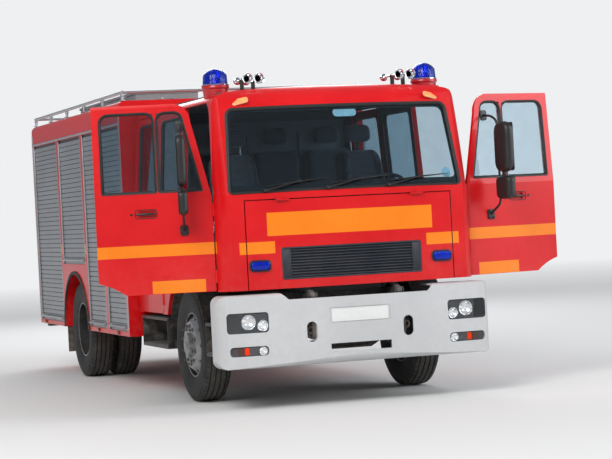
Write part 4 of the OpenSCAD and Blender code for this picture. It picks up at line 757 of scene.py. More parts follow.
# Engine under the cab
# An upright diesel with a cast alloy cover over each of its six cylinders, an intake pipe on the left, a
# rusty exhaust pipe and its turbine on the right, rubber hoses to the radiator, and a gearbox behind. It
# shows when the cab tilts.
block_y = front_axle_y + np.array((-0.9, 0.3))
block_top_z = 1.29
radiator_at = np.array((0.0, front_axle_y - 0.982, 1.34))
gearbox_at = np.array((0.0, block_y[1], 0.74))
cylinder_y = np.linspace(block_y[0] + 0.12, block_y[1] - 0.14, 6)
pipe_at = np.array((0.325, 1.19))
filter_y = cylinder_y[2:4] - 0.05
turbine_at = np.array((-0.3, block_y[1] - 0.19, 1.255))


def clip(spot, direction, radius):
    """A worm-drive clip round a hose."""
    band = turned(((radius, -0.006), (radius + 0.003, -0.006), (radius + 0.003, 0.006), (radius, 0.006)), 20)
    screw = shifted(rounded_block((0.012, 0.02, 0.012), 0.003, 0.001), (radius + 0.007, 0, 0))
    return placed(together(band, screw), spot, direction, (0.3, 0.5, 0.8))


def pipe_with_runners(x, radius, runner):
    """A pipe along the block at x with a short branch to each cylinder, and a flange at each branch's end."""
    side = math.copysign(1, x)
    along = points_at(x, np.linspace(cylinder_y[0] - 0.05, cylinder_y[-1] + 0.05, 13), pipe_at[1])
    flange = rounded_block((0.085, 0.07, 0.012), 0.014, 0.003)
    parts = [tube(along, radius, 20)]
    for y in cylinder_y:
        parts.append(tube(rounded(((x, y, pipe_at[1]), (x - 0.02 * side, y, 1.235), (side * 0.245, y, 1.24)),
            0.02), runner, 14))
        parts.append(placed(flange, (side * 0.262, y, 1.236), (1, 0, 0.5 * side), (0, 1, 0)))
    return together(*parts)


def snail(width, radius):
    """A turbine's housing about local Z: a ring whose thickness grows round the turn, and the flat outlet."""
    turn = np.linspace(0, 2 * np.pi, 33)
    grow = 0.55 + 0.45 * turn / (2 * np.pi)
    path = points_at((radius - 0.02) * np.cos(turn), (radius - 0.02) * np.sin(turn), 0)
    ring = tube(path, grow * width / 2, 14)
    hub = turned(((0, width * 0.5), (0.018, width * 0.55), (0.03, width * 0.42), (radius - 0.02, width * 0.2),
        (radius - 0.02, -width * 0.3), (0, -width * 0.3)), 28)
    return together(ring, hub)


cover = shifted(rounded_block((0.36, 0.172, 0.06), 0.03, 0.014), (0, 0, 0.027))
cover_rib = shifted(rounded_block((0.3, 0.012, 0.008), 0.005, 0.003),
    *[(0, y, 0.058) for y in (-0.045, 0, 0.045)])
cover_bolts = shifted(bolt, (-0.15, 0, 0.057), (0.15, 0, 0.057))
on_cylinders = [(0, y, block_top_z) for y in cylinder_y]
deck_bolts = both_sides(shifted(bolt, *[(0.222, y, block_top_z) for y in np.linspace(block_y[0] + 0.04,
    block_y[1] - 0.04, 13)]))
block_flange = shifted(rounded_block((0.616, block_y[1] - block_y[0] + 0.008, 0.016), 0.01, 0.004),
    (0, block_y.mean(), 1.118))
front_cover = shifted(rounded_block((0.4, 0.016, 0.34), 0.005, 0.003), (0, block_y[0] - 0.006, 1.08))
sump_ribs = both_sides(shifted(rounded_block((0.014, 0.02, 0.26), 0.005, 0.003),
    *[(0.303, y, 0.95) for y in cylinder_y + 0.09]))
bell_rim = turned(((0.16, 0.03), (0.236, 0.03), (0.24, 0.024), (0.24, -0.004), (0.2, -0.004)), 48)
bell_ribs = [tube(((*outer, 0.03), (*inner, 0.18)), 0.009, 8)
    for outer, inner in zip(circle(0.206, 12), circle(0.152, 12))]
bell_end = turned(((0.12, 0.172), (0.166, 0.172), (0.17, 0.178), (0.17, 0.194), (0.12, 0.2)), 40)
bell = placed(together(bell_rim, *bell_ribs, bell_end), gearbox_at, (0, 1, 0))
bell_bolts = repeated(bolt, [aim(gearbox_at + (x, 0.03, z), (0, 1, 0)) for x, z in circle(0.222, 14)])
shifter = shifted(rounded_block((0.16, 0.2, 0.07), 0.02, 0.01), gearbox_at + (0, 0.33, 0.165))
intake = pipe_with_runners(pipe_at[0], 0.044, 0.026)
compressor = placed(snail(0.05, 0.068), turbine_at + (0, 0.085, 0), (0, 1, 0))
alternator_case = turned(((0, 0.075), (0.04, 0.075), (0.058, 0.06), (0.062, 0.04), (0.062, -0.045),
    (0.055, -0.06), (0, -0.06)), 32)
alternator_slots = repeated(rounded_block((0.03, 0.006, 0.004), 0.002, 0.001),
    [aim((x, y, 0.069), (0, 0, 1), (x, y, 0)) for x, y in circle(0.048, 10)])
alternator = placed(together(alternator_case, alternator_slots), (-0.312, block_y[0] + 0.09, 1.03), (0, 1, 0))
turbine = placed(snail(0.052, 0.07), turbine_at, (0, 1, 0))
shaft_case = placed(turned(((0, -0.06), (0.036, -0.06), (0.03, -0.02), (0.03, 0.02), (0.036, 0.06),
    (0, 0.06)), 24), turbine_at + (0, 0.045, 0), (0, 1, 0))
exhaust_pipe = together(pipe_with_runners(-pipe_at[0], 0.034, 0.024),
    tube(rounded((turbine_at - (0, 0.03, 0), turbine_at - (0.005, 0.1, 0.02),
    turbine_at - (0.01, 0.13, 0.07)), 0.05), 0.03, 16),
    tube(rounded((turbine_at + (0.01, 0.0, -0.05), turbine_at + (0.005, 0.06, -0.14),
    turbine_at + (0.0, 0.3, -0.24), turbine_at + (0.02, 0.42, -0.28)), 0.08), 0.036, 18))
rail_ends = (cylinder_y[0] - 0.06, cylinder_y[-1] + 0.06)
fuel_rail = tube([(0.205, y, block_top_z + 0.026) for y in rail_ends], 0.012, 12)
fuel_path = np.array(((0.205, 0.03, 0.03), (0.2, 0.03, 0.085), (0.06, 0.022, 0.092), (0.055, 0.022, 0.055)))
fuel_pipes = together(fuel_rail, *[tube(rounded(fuel_path + (0, y, block_top_z), 0.03), 0.0035, 8)
    for y in cylinder_y])
union = turned(((0.0065, 0.0), (0.0075, 0.0), (0.0075, 0.012), (0.0036, 0.014)), 6)
unions = together(*[shifted(union, (0.055, y + 0.022, block_top_z + 0.057),
    (0.205, y + 0.03, block_top_z + 0.032)) for y in cylinder_y])
top_tank = shifted(rounded_block((0.71, 0.088, 0.05), 0.02, 0.012), radiator_at + (0, 0, 0.012))
radiator_cap = shifted(turned(((0, 0.02), (0.022, 0.02), (0.028, 0.014), (0.03, 0), (0, 0)), 24),
    radiator_at + (-0.2, 0, 0.036))
oil_cap = shifted(turned(((0, 0.026), (0.018, 0.026), (0.026, 0.02), (0.028, 0.004), (0.034, 0), (0, 0)), 20),
    (-0.09, cylinder_y[4], block_top_z + 0.057))
hose_paths = (((0.21, radiator_at[1], 1.345), (0.212, radiator_at[1] + 0.07, 1.352),
    (0.212, block_y[0] + 0.04, 1.33), (0.21, block_y[0] + 0.06, 1.29)),
    ((pipe_at[0], cylinder_y[0] - 0.04, pipe_at[1]), (pipe_at[0], block_y[0] - 0.01, pipe_at[1]),
    (0.3, radiator_at[1], 1.15)))
hoses = together(tube(rounded(hose_paths[0], 0.05), 0.023, 16), tube(rounded(hose_paths[1], 0.05), 0.036, 18))
heater_path = np.array(((0, block_y[0] + 0.05, -0.02), (0, block_y[0] + 0.06, 0.02),
    (-0.004, block_y.mean(), 0.012), (0, block_y[1] - 0.02, 0.02), (-0.02, block_y[1] + 0.07, -0.14),
    (-0.05, block_y[1] + 0.2, -0.36)))
heater_hoses = together(*[tube(rounded(heater_path + (x, 0, block_top_z), 0.06), 0.0105, 10)
    for x in (-0.2, -0.228)])
air_lines = together(*[tube(rounded((gearbox_at + (x, 0.33, 0.19), gearbox_at + (x, 0.35, 0.24),
    gearbox_at + (x + 0.15, 0.42, 0.2), gearbox_at + (0.335, 0.5 + x, 0.18)), 0.06), 0.005, 8)
    for x in (-0.04, 0.0, 0.04)])
clips = together(clip((0.212, radiator_at[1] + 0.055, 1.351), (0, 1, 0), 0.0235),
    clip((pipe_at[0], cylinder_y[0] - 0.068, pipe_at[1]), (0, 1, 0), 0.0365))
filter_can = turned(((0, 0.066), (0.034, 0.066), (0.042, 0.058), (0.0425, 0.05), (0.0425, -0.05),
    (0.036, -0.062), (0.012, -0.066), (0, -0.066)), 28)
filters = shifted(filter_can, *[(0.33, y, 1.045) for y in filter_y])
filter_heads = shifted(rounded_block((0.09, 0.095, 0.03), 0.02, 0.005),
    *[(0.325, y, 1.122) for y in filter_y])

engine_alloy = finish("engine_alloy", (0.46, 0.47, 0.48, 1), 0.45, dust=0.35, grain=240, depth=0.55,
    metallic=0.55)
rusty_iron = finish("rusty_iron", (0.085, 0.04, 0.024, 1), 0.8, dust=0.5, grain=150, depth=0.9)
hose_rubber = finish("hose_rubber", (0.018, 0.018, 0.019, 1), 0.62, dust=0.45, grain=200, depth=0.3)
engine_steel = finish("engine_steel", (0.45, 0.45, 0.46, 1), 0.35, dust=0.4, grain=300, depth=0.1,
    metallic=0.9)
piece("cylinder_covers", shifted(together(cover, cover_rib), *on_cylinders), engine_alloy, "chassis",
    "engine_iron")
piece("block_castings", together(block_flange, front_cover, sump_ribs, filter_heads),
    nodes["engine"].data.materials[0], "chassis", "engine_iron")
piece("intake_pipe", together(intake, compressor, alternator), engine_alloy, "chassis", "engine_iron",
    smooth=45)
piece("exhaust_pipe", together(exhaust_pipe, turbine, shaft_case), rusty_iron, "chassis", "exhaust_steel",
    smooth=45)
piece("gearbox_castings", together(bell, shifter), engine_alloy, "chassis", "engine_iron")
piece("engine_bolts", together(deck_bolts, bell_bolts, shifted(cover_bolts, *on_cylinders), unions, clips),
    engine_steel, "chassis", "engine_iron")
piece("fuel_pipes", fuel_pipes, engine_steel, "chassis", "engine_iron", smooth=60)
piece("engine_hoses", together(hoses, heater_hoses, air_lines, oil_cap, radiator_cap), hose_rubber, "chassis",
    "engine_iron", smooth=50)
piece("radiator_tank", together(top_tank, filters), finish("tank_black", (0.03, 0.031, 0.033, 1), 0.45,
    dust=0.5, grain=200, depth=0.3), "chassis", "engine_iron")

# Cab and body in red
# Pressed steel cab and coachbuilt body, sprayed with glossy two-pack red under clear lacquer.
# Yellow reflective foil runs round at waist height, across the flap and on the doors, and bears no words.
red = (0.6, 0.0012, 0.004, 1)
foil_yellow = (0.84, 0.2, 0.002, 1)
lining_grey = (0.1, 0.104, 0.11, 1)
cab_rear_face = joint_at("wheel_front_left_spin").y + 1.63
waist_band = (1.32, 1.42)
flap_band = (1.445, 1.64)
flap_band_half = 0.74
flap_label = ((0.68, 0.985), (1.3, 1.4))
door_strip = (1.01, 1.115)
door_strip_reach = (0.09, 0.52)
door_hinge = joint_at("front_door_left_hinge")


def flap_band_mask(spot, facing):
    """The wide band across the flap."""
    return spot.z.within(*flap_band) * spot.x.within(-flap_band_half, flap_band_half)


def flap_label_mask(spot, facing):
    """A small bare label beside each end of the grille."""
    return abs(spot.x).within(*flap_label[0]) * spot.z.within(*flap_label[1]) * (facing.y < -0.5)


def waist_band_mask(spot, facing):
    """The band along both sides, behind the front doors' hinges."""
    outside = (abs(facing.x) > 0.6) * (spot.y > door_hinge.y - 0.02) * (abs(spot.x) > 1.12)
    return spot.z.within(*waist_band) * outside


def open_door_band_mask(spot, facing):
    """The same band on a front door, whose outer face looks ahead while it stands open."""
    return spot.z.within(*waist_band) * (facing.y < -0.5)


def open_door_strip_mask(spot, facing):
    """The short strip low on a front door, measured from its hinge."""
    across = (abs(spot.x) - door_hinge.x).within(*door_strip_reach)
    return across * spot.z.within(*door_strip) * (facing.y < -0.5)


def lining_mask(spot, facing):
    """The cab's inner faces: inside its walls, below its roof, and behind its front skin."""
    above_waist = (spot.z - 1.8).math("MAXIMUM", 0.0)
    walls = above_waist.math("MULTIPLY_ADD", 0.0694, abs(spot.x)) < 1.104
    behind = (spot.y > cab_rear_face - 2.2).math("MAXIMUM", facing.y > -0.3)
    return walls * (facing.z < 0.35) * behind * (spot.y < cab_rear_face - 0.02) * (spot.z > 1.16)


def lined(material):
    """The same paint, matt and without lacquer where the lining is."""
    tree = material.node_tree
    shader = tree.nodes["Principled BSDF"]
    inside = lining_mask(axes(tree), axes(tree, "Normal"))
    rough = shader.inputs["Roughness"].links[0].from_socket
    coat = shader.inputs["Coat Weight"].default_value
    feed(shader, {"Roughness": inside.math("MULTIPLY_ADD", 0.4, rough),
        "Coat Weight": inside.ramp(0.0, 1.0, coat, 0.0)})
    return material


def red_paint(name, *bands):
    """Red two-pack with the named bands of foil."""
    return finish(name, red, 0.32, dust=0.2, grain=420, depth=0.03, coat=0.22,
        bands=[(band, lining_grey if band is lining_mask else foil_yellow) for band in bands],
        Coat_Roughness=0.05, Specular_IOR_Level=0.3)


lay_on(red_paint("red_panels", waist_band_mask), "crew_door_left", "crew_door_right", "body_shell")
red_cab = lined(red_paint("red_cab", waist_band_mask, flap_label_mask, lining_mask))
lay_on(red_cab, "cab_shell", "cab_roof")
lay_on(red_paint("red_flap", flap_band_mask, flap_label_mask), "front_flap")
lay_on(red_paint("red_doors", open_door_band_mask, open_door_strip_mask), "door_left", "door_right")
rear_beads = repeated(rounded_block((0.07, 1.05, 0.018), 0.034, 0.008),
    [aim((x, cab_rear_face, 1.86), (0, 1, 0)) for x in (-0.78, -0.26, 0.26, 0.78)])
piece("cab_rear_beads", rear_beads, red_cab, "cab", "fire_red", smooth=50)

# Grille and lamps of the front flap
# A moulded slate-grey grille of ten blades between two fans of upright fins, with a wire screen behind them.
# Two blue flashers are screwed to the flap, each a fluted lens on a black base over a chrome back.
cab_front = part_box("front_flap")[0].y + 0.014
cab_half = 1.15
cab_corner = 0.23
belt_z = 1.8
grille_half = 0.628
grille_z = (1.072, 1.345)
grille_corner = 0.02
blade_count = 10
fin_count = 6
flasher_at = (0.815, 1.2)


def cab_skin(x, inset):
    """Y of the upright part of the cab's front at x, drawn in by inset."""
    return cab_front + bowed(x, inset, cab_half, cab_corner)


def walk(loop, count):
    """A closed loop in evenly spaced points, and the outward normal at each."""
    closed = np.vstack((loop, loop[:1]))
    run = np.r_[0, np.cumsum(np.linalg.norm(np.diff(closed, axis=0), axis=1))]
    spots = np.linspace(0, run[-1], count, endpoint=False)
    points = np.column_stack([np.interp(spots, run, closed[:, axis]) for axis in (0, 1)])
    ahead = np.roll(points, -1, axis=0) - np.roll(points, 1, axis=0)
    outward = np.column_stack((ahead[:, 1], -ahead[:, 0]))
    return points, outward / np.linalg.norm(outward, axis=1, keepdims=True)


def frame_round(loop, section, count, surface):
    """A moulding round a loop: at each (outward, depth) of its closed section the loop is moved outwards,
    then laid on the surface (a function of x, z and depth)."""
    points, outward = walk(loop, count)
    rings = []
    for reach, depth in section:
        moved = points + reach * outward
        rings.append(surface(*moved.T, depth))
    return lattice(np.stack(rings), wrap_rows=True, wrap_columns=True)


def on_flap(x, z, depth):
    """A point of the flap's face, depth behind it."""
    return points_at(x, cab_skin(x, depth), z)


def bar_between(x0, x1, z, section, count):
    """A bar along X on the flap: its closed section is (height, depth)."""
    x = np.linspace(x0, x1, count)
    middle, depth = section.mean(axis=0)
    ends = [on_flap(edge, np.full(len(section), z + middle), depth) for edge in (x0, x1)]
    rows = [on_flap(spot, z + section[:, 0], section[:, 1]) for spot in x]
    return lattice(np.stack([ends[0]] + rows + [ends[1]]), wrap_columns=True)


def blade_section():
    """A leaf 15 mm deep and 4 mm thick, its front edge 9 mm lower than its back."""
    turn = np.linspace(0, 2 * np.pi, 12, endpoint=False)
    along, over = 0.0085 * np.cos(turn), 0.0024 * np.sin(turn)
    lean = 0.62
    return np.column_stack((along * math.sin(lean) + over * math.cos(lean),
        0.0135 + along * math.cos(lean) - over * math.sin(lean)))


grille_middle = sum(grille_z) / 2
grille_rise = (grille_z[1] - grille_z[0]) / 2
grille_loop = rectangle(grille_half, grille_rise, grille_corner) + (0, grille_middle)
frame_section = ((-0.001, 0.029), (-0.001, 0.004), (-0.004, 0.0015), (-0.011, 0.0015), (-0.014, 0.004),
    (-0.015, 0.029))
grille_frame = frame_round(grille_loop, frame_section, 240, on_flap)
pitch = 2 * (grille_rise - 0.015) / blade_count
blades = [bar_between(-0.548, 0.548, grille_z[0] + 0.015 + pitch * (i + 0.5), blade_section(), 28)
    for i in range(blade_count)]
post = rounded_block((0.008, 0.014, 2 * grille_rise - 0.026), 0.003, 0.001, 2, 1)
fin_x = np.r_[-0.551, 0.551, [side * (0.562 + 0.0095 * i) for side in (-1, 1) for i in range(fin_count)]]
fins = shifted(post, *[(x, cab_skin(x, 0.013), grille_middle) for x in fin_x])
screen_x = np.linspace(-0.6, 0.6, 97)
screen_rows = np.linspace(grille_z[0] + 0.02, grille_z[1] - 0.02, 22)
wire_x = together(*[tube(on_flap(np.linspace(-0.605, 0.605, 16), z, 0.0195), 0.0011, 4)
    for z in screen_rows])
upright = tube(((0, 0, grille_z[0] + 0.012), (0, 0, grille_z[1] - 0.012)), 0.0011, 4, (0, 1, 0))
wires = together(wire_x, shifted(upright, *[(x, cab_skin(x, 0.0185), 0) for x in screen_x]))
back_x, back_z = np.meshgrid(np.linspace(-0.62, 0.62, 30), np.linspace(grille_z[0] + 0.006,
    grille_z[1] - 0.006, 4))
backing = plate(on_flap(back_x, back_z, 0.024), on_flap(back_x, back_z, 0.029))

grille_slate = finish("grille_slate", (0.03, 0.036, 0.05, 1), 0.42, dust=0.25, grain=700, depth=0.2)
grille_dark = finish("grille_dark", (0.01, 0.011, 0.013, 1), 0.7, dust=0.4, grain=300, depth=0.3)
screen_wire = finish("screen_wire", (0.06, 0.065, 0.07, 1), 0.5, dust=0.5, grain=300, depth=0.2, metallic=0.5)
piece("grille_frame", together(grille_frame, fins, *blades), grille_slate, "flap", "grille_plastic",
    ["grille"], smooth=50)
piece("grille_screen", wires, screen_wire, "flap", "grille_plastic", smooth=80)
piece("grille_backing", backing, grille_dark, "flap", "grille_plastic")

flasher_x, flasher_z = flasher_at
flasher_move = aim((flasher_x, cab_skin(flasher_x, 0), flasher_z), (0.06, -1, 0))
flasher_base = rounded_block((0.19, 0.1, 0.016), 0.035, 0.006)
flasher_lens = rounded_block((0.166, 0.076, 0.034), 0.034, 0.012, 8, 5)
flasher_back = rounded_block((0.15, 0.06, 0.012), 0.026, 0.004)
blue_lens = clear_finish("blue_lens", (0.012, 0.1, 0.62, 1), 0.08, 1.38, rib_pitch=0.008,
    shadow=(0.1, 0.3, 1, 1))
blue_back = finish("blue_back", (0.03, 0.16, 0.6, 1), 0.2, dust=0.0, grain=90, depth=0.1, metallic=0.6)
base_black = finish("base_black", (0.015, 0.015, 0.016, 1), 0.5, dust=0.25, grain=500, depth=0.2)
for name, part, height, material, slot in (
        ("flasher_bases", flasher_base, 0, base_black, "grille_plastic"),
        ("flasher_lenses", flasher_lens, 0.016, blue_lens, "blue_lens"),
        ("flasher_backs", flasher_back, 0.012, blue_back, "blue_lens")):
    flasher = repeated(shifted(part, (0, 0, height)), [flasher_move])
    piece(name, both_sides(flasher), material, "flap", slot)

# Windscreen and wipers
# Laminated, faintly blue glass bowed to the cab's front and held in a black rubber seal, its edge printed
# black. Three pressed-steel wiper arms carry rubber blades, and two plain pale pads are stuck to the
# inside.
screen_lean = math.radians(13)
screen_foot_y = cab_front + 0.025
screen_head = 0.7495
screen_half = (1.035, 0.99)
screen_sill = 0.025
screen_round = 0.06
wiper_pivots = (-0.74, -0.19, 0.36)
wiper_reach = 0.31
wiper_half_blade = 0.27
wiper_rise = 0.024
wiper_foot = 0.024
wiper_tip = 0.092
into_screen = np.array((0, math.cos(screen_lean), -math.sin(screen_lean)))


def on_screen(x, s, depth):
    """A point of the leaning front: s up its slope from the foot, depth square behind its skin."""
    back = bowed(x, depth, cab_half, cab_corner)
    y = screen_foot_y + s * math.sin(screen_lean) + back * math.cos(screen_lean)
    return points_at(x, y, belt_z + s * math.cos(screen_lean) - back * math.sin(screen_lean))


def screen_loop(inset=0.0, foot_inset=0.0):
    """The glass's outline, drawn in by inset, and at the foot by foot_inset."""
    foot, head = screen_sill + foot_inset, screen_head - inset
    foot_half, head_half = screen_half[0] - inset, screen_half[1] - inset
    reach = screen_round
    turn = np.linspace(0, np.pi / 2, 7)
    arc = np.column_stack((head_half - reach + reach * np.cos(turn), head - reach + reach * np.sin(turn)))
    foot_turn = np.linspace(-np.pi / 2, 0, 5)
    low = np.column_stack((foot_half - 0.03 + 0.03 * np.cos(foot_turn),
        foot + 0.03 + 0.03 * np.sin(foot_turn)))
    half = np.vstack((low, arc))
    return np.vstack((half, half[::-1] * (-1, 1)))


seal_section = ((0.002, 0.022), (-0.004, 0.022), (-0.0135, 0.0125), (-0.013, 0.010), (-0.004, 0.001),
    (0.004, -0.0035), (0.012, -0.0035), (0.015, -0.0005), (0.002, 0.001))
seal = frame_round(screen_loop(), seal_section, 300, on_screen)
border_points, border_out = walk(screen_loop(), 300)
outer_loop = border_points - 0.002 * border_out
inner_loop = walk(screen_loop(0.032, 0.062), 300)[0]
border_rings = [on_screen(*loop.T, depth) for loop, depth in
    ((outer_loop, 0.0205), (inner_loop, 0.0205), (inner_loop, 0.0215), (outer_loop, 0.0215))]
border = lattice(np.stack(border_rings), wrap_rows=True, wrap_columns=True)


def screen_move(x, s, depth):
    """Local Z square out of the glass at a spot."""
    return aim(on_screen(x, s, depth), (0, -math.cos(screen_lean), math.sin(screen_lean)))


def wiper_arm(pivot):
    """A channel arm: 22 mm wide at the spindle, 10 mm at the tip, humped 8 mm off the glass."""
    share = np.linspace(0, 1, 17)
    x = pivot + wiper_reach * share
    s = wiper_foot + (wiper_tip - wiper_foot) * share
    depth = -0.024 - 0.008 * np.sin(np.pi * share)
    return tube(on_screen(x, s, 0) + depth[:, None] * into_screen, 0.0085 - 0.0038 * share, 10)


def wiper_blade(pivot):
    """A bridge bowed over two claws that grip a rubber strip, which lies on the glass."""
    def along(share, lift):
        x = pivot + wiper_reach + wiper_half_blade * share
        return on_screen(x, wiper_tip + wiper_rise * share, 0) + np.asarray(lift)[:, None] * into_screen

    bridge = np.linspace(-0.62, 0.62, 21)
    claws = [np.linspace(middle - 0.34, middle + 0.34, 15) for middle in (-0.6, 0.6)]
    strip = np.linspace(-1, 1, 31)
    parts = [tube(along(bridge, -0.020 + 0.022 * (bridge / 0.62) ** 2), 0.0042, 8)]
    parts += [tube(along(claw, -0.005 + 0.012 * ((claw - claw.mean()) / 0.34) ** 2), 0.0034, 8)
        for claw in claws]
    spine = along(strip, np.full(31, 0.0075))
    up = np.array((0, math.sin(screen_lean), math.cos(screen_lean)))
    rows = [spine + side * up + depth * into_screen for side, depth in
        ((-0.0035, -0.002), (0.0035, -0.002), (0.0035, 0.001), (0.0008, 0.0025), (0.0005, 0.0062),
        (-0.0005, 0.0062), (-0.0008, 0.0025), (-0.0035, 0.001))]
    return together(*parts, capped(np.stack(rows, axis=1)))


spindle = turned(((0, 0.012), (0.009, 0.012), (0.0135, 0.008), (0.0135, -0.026), (0, -0.026)), 20)
knuckle = rounded_block((0.03, 0.022, 0.014), 0.009, 0.003)
wipers = together(*[wiper_arm(pivot) for pivot in wiper_pivots],
    *[wiper_blade(pivot) for pivot in wiper_pivots],
    repeated(spindle, [screen_move(pivot, wiper_foot, -0.024) for pivot in wiper_pivots]),
    repeated(knuckle, [screen_move(pivot + wiper_reach, wiper_tip, -0.022) for pivot in wiper_pivots]))

glass_tint = clear_finish("glass_tint", (0.42, 0.55, 0.63, 1), 0.0, 1.33, shadow=(0.62, 0.7, 0.75, 1))
seal_rubber = finish("seal_rubber", (0.012, 0.012, 0.013, 1), 0.55, dust=0.2, grain=600, depth=0.15)
edge_print = finish("edge_print", (0.006, 0.006, 0.007, 1), 0.3, dust=0.0, grain=900, depth=0.05)
wiper_black = finish("wiper_black", (0.012, 0.012, 0.012, 1), 0.38, dust=0.2, grain=500, depth=0.15)
pad_pale = finish("pad_pale", (0.55, 0.72, 0.76, 1), 0.45, dust=0.0, grain=300, depth=0.1)
lay_on(glass_tint, "windscreen", "cab_glass", "door_glass_left", "door_glass_right", "crew_glass_left",
    "crew_glass_right")
piece("windscreen_seal", seal, seal_rubber, "cab", "cab_plastic", smooth=45)
piece("windscreen_border", border, edge_print, "cab", "cab_plastic", smooth=60)
piece("wipers_made", wipers, wiper_black, "cab", "chassis_black", ["wipers"], smooth=50)
top_pad = rounded_block((0.21, 0.075, 0.006), 0.034, 0.0025)
round_pad = rounded_block((0.085, 0.085, 0.002), 0.042, 0.0008, 8, 2)
pads = together(repeated(top_pad, [screen_move(0.06, 0.69, 0.026)]),
    repeated(round_pad, [screen_move(0.93, 0.13, 0.0235)]))
piece("screen_pads", pads, pad_pale, "cab", "cab_plastic")

# Beacons, horns and marker lamps on the cab's roof
# Each beacon is a wide blue dome with fine flutes, screwed to a red pan, with a lamp and a turning mirror
# inside. The horns are spun brass trumpets, chromed, on pressed stands; a pale marker lamp sits at each end
# of the brow.
roof_z = 2.72
beacon_at = Vector((0.96, cab_front + 0.6, roof_z + 0.03))
dome_r = 0.102
dome_foot_r = 0.109
dome_wall_h = 0.092
dome_sink = 0.06
dome_flutes = 44
dome_step = 0.009
horn_x = (0.64, 0.74)
horn_length = (0.42, 0.34)
horn_mouth_y = beacon_at.y - 0.25
horn_z = roof_z + 0.07
horn_mouth_r = 0.047
brow_r = 0.33
brow_centre = (cab_front + 0.025 + 0.74 * math.tan(screen_lean) + math.sqrt(brow_r ** 2 - 0.15 ** 2),
    roof_z - brow_r)
marker_at = (0.86, 0.2)


def dome_profile(inset):
    """Half a section of the dome, drawn in by inset: a wall that leans in, then part of a sphere sunk 60
    mm."""
    ball = math.hypot(dome_r, dome_sink) - inset
    rise = np.linspace(math.atan2(dome_sink, dome_r), np.pi / 2, 12)
    cap = np.column_stack((ball * np.cos(rise), dome_wall_h - dome_sink + ball * np.sin(rise)))
    return np.vstack(((dome_foot_r - inset, 0.002), (dome_foot_r - inset, 0.01), cap))


def trumpet(length):
    """A bell that opens as an exponential over 90 mm from a pipe of 11 mm radius, 1.5 mm thick, with a
    rolled rim and a round sound box at its foot."""
    run = np.linspace(0, length - 0.035, 26) ** 1.6 / (length - 0.035) ** 0.6
    flare = 0.0095 + (horn_mouth_r - 0.0115) * np.exp(-run / 0.034)
    outside = np.column_stack((flare + 0.0015, -run))
    inside = np.column_stack((flare, -run))[::-1]
    rim = ((horn_mouth_r - 0.0035, 0.0005), (horn_mouth_r - 0.0005, 0.002), (horn_mouth_r, -0.001),
        (horn_mouth_r - 0.002, -0.003))
    box = ((0.03, 0.033 - length), (0.033, 0.03 - length), (0.033, 0.008 - length), (0.03, 0.004 - length),
        (0, -length))
    return turned(np.vstack(((0, inside[0][1]), inside, rim, outside[2:], box)), 36)


dome = turned(np.vstack((dome_profile(0), dome_profile(0.003)[::-1], dome_profile(0)[:1])), 72)
pan = turned(((0, 0.004), (0.103, 0.004), (0.113, 0.002), (0.118, -0.006), (0.118, -0.02), (0.109, -0.03),
    (0.106, -0.075), (0.1, -0.12), (0, -0.12)), 72)
ring = turned(((0.1095, 0.004), (0.1095, 0.0125), (0.112, 0.0135), (0.1145, 0.011), (0.1145, 0.004),
    (0.1095, 0.004)), 72)
stalk = turned(((0, 0.062), (0.018, 0.06), (0.024, 0.05), (0.024, 0.014), (0.05, 0.012), (0.055, 0.004),
    (0, 0.004)), 32)
lamp_glass = turned(((0, 0.105), (0.008, 0.103), (0.011, 0.095), (0.011, 0.06), (0, 0.06)), 20)
mirror_turn, mirror_rise = np.meshgrid(np.linspace(-1.15, 1.15, 24), np.linspace(0.05, 0.125, 8))
mirror_reach = 0.058 * (1 - 3.2 * (mirror_rise - 0.0875) ** 2 / 0.0875)
mirror_ahead = 0.3 * 0.058 - mirror_reach * np.cos(mirror_turn) * 0.75 + 0.025
mirror_front = points_at(mirror_reach * np.sin(mirror_turn), mirror_ahead, mirror_rise)
mirror = plate(mirror_front, mirror_front * (1.05, 1, 1) - (0, 0.003, 0))
beacon_spots = [tuple(beacon_at), (-beacon_at.x, beacon_at.y, beacon_at.z)]
pan_bolts = shifted(bolt, *[np.array(beacon_at) + (x, y, 0.001) for x, y in circle(0.108, 6, 0.3)])


def dome_finish(name, tint):
    """Blue polycarbonate with upright flutes round each dome: height = |sin(n a / 2)|, a the angle about
    its middle."""
    material = clear_finish(name, tint, 0.06, 1.4, shadow=(0.08, 0.2, 1, 1))
    tree = material.node_tree
    spot = axes(tree)
    angle = (spot.y - beacon_at.y).math("ARCTAN2", abs(spot.x) - beacon_at.x)
    flute = abs((angle * (dome_flutes / 2)).math("SINE"))
    step = abs((spot.z * (math.pi / dome_step)).math("SINE"))
    feed(tree.nodes["Principled BSDF"], {"Normal": bump(tree, flute + step * 0.35, 0.55, 0.0016)})
    return material


dome_blue = dome_finish("dome_blue", (0.008, 0.11, 0.62, 1))
horn_chrome = finish("horn_chrome", (0.78, 0.78, 0.8, 1), 0.1, dust=0.05, grain=70, depth=0.03, metallic=1.0)
pan_red = finish("pan_red", (0.42, 0.006, 0.012, 1), 0.35, dust=0.2, grain=400, depth=0.06, coat=0.4)
marker_clear = clear_finish("marker_clear", (1.0, 0.62, 0.36, 1), 0.1, 1.4, rib_pitch=0.006)
marker_back = finish("marker_back", (0.85, 0.42, 0.22, 1), 0.3, dust=0.1, grain=100, depth=0.05)
piece("beacon_domes", shifted(dome, *beacon_spots), dome_blue, "cab", "blue_lens", ["beacons"], smooth=40)
piece("beacon_pans", together(shifted(pan, *beacon_spots), both_sides(pan_bolts)), pan_red, "cab",
    "blue_lens")
piece("beacon_rings", shifted(ring, *beacon_spots), horn_chrome, "cab", "horn_chrome", smooth=40)
piece("beacon_lamps", shifted(together(stalk, lamp_glass), *beacon_spots), blue_back, "cab", "blue_lens",
    smooth=40)
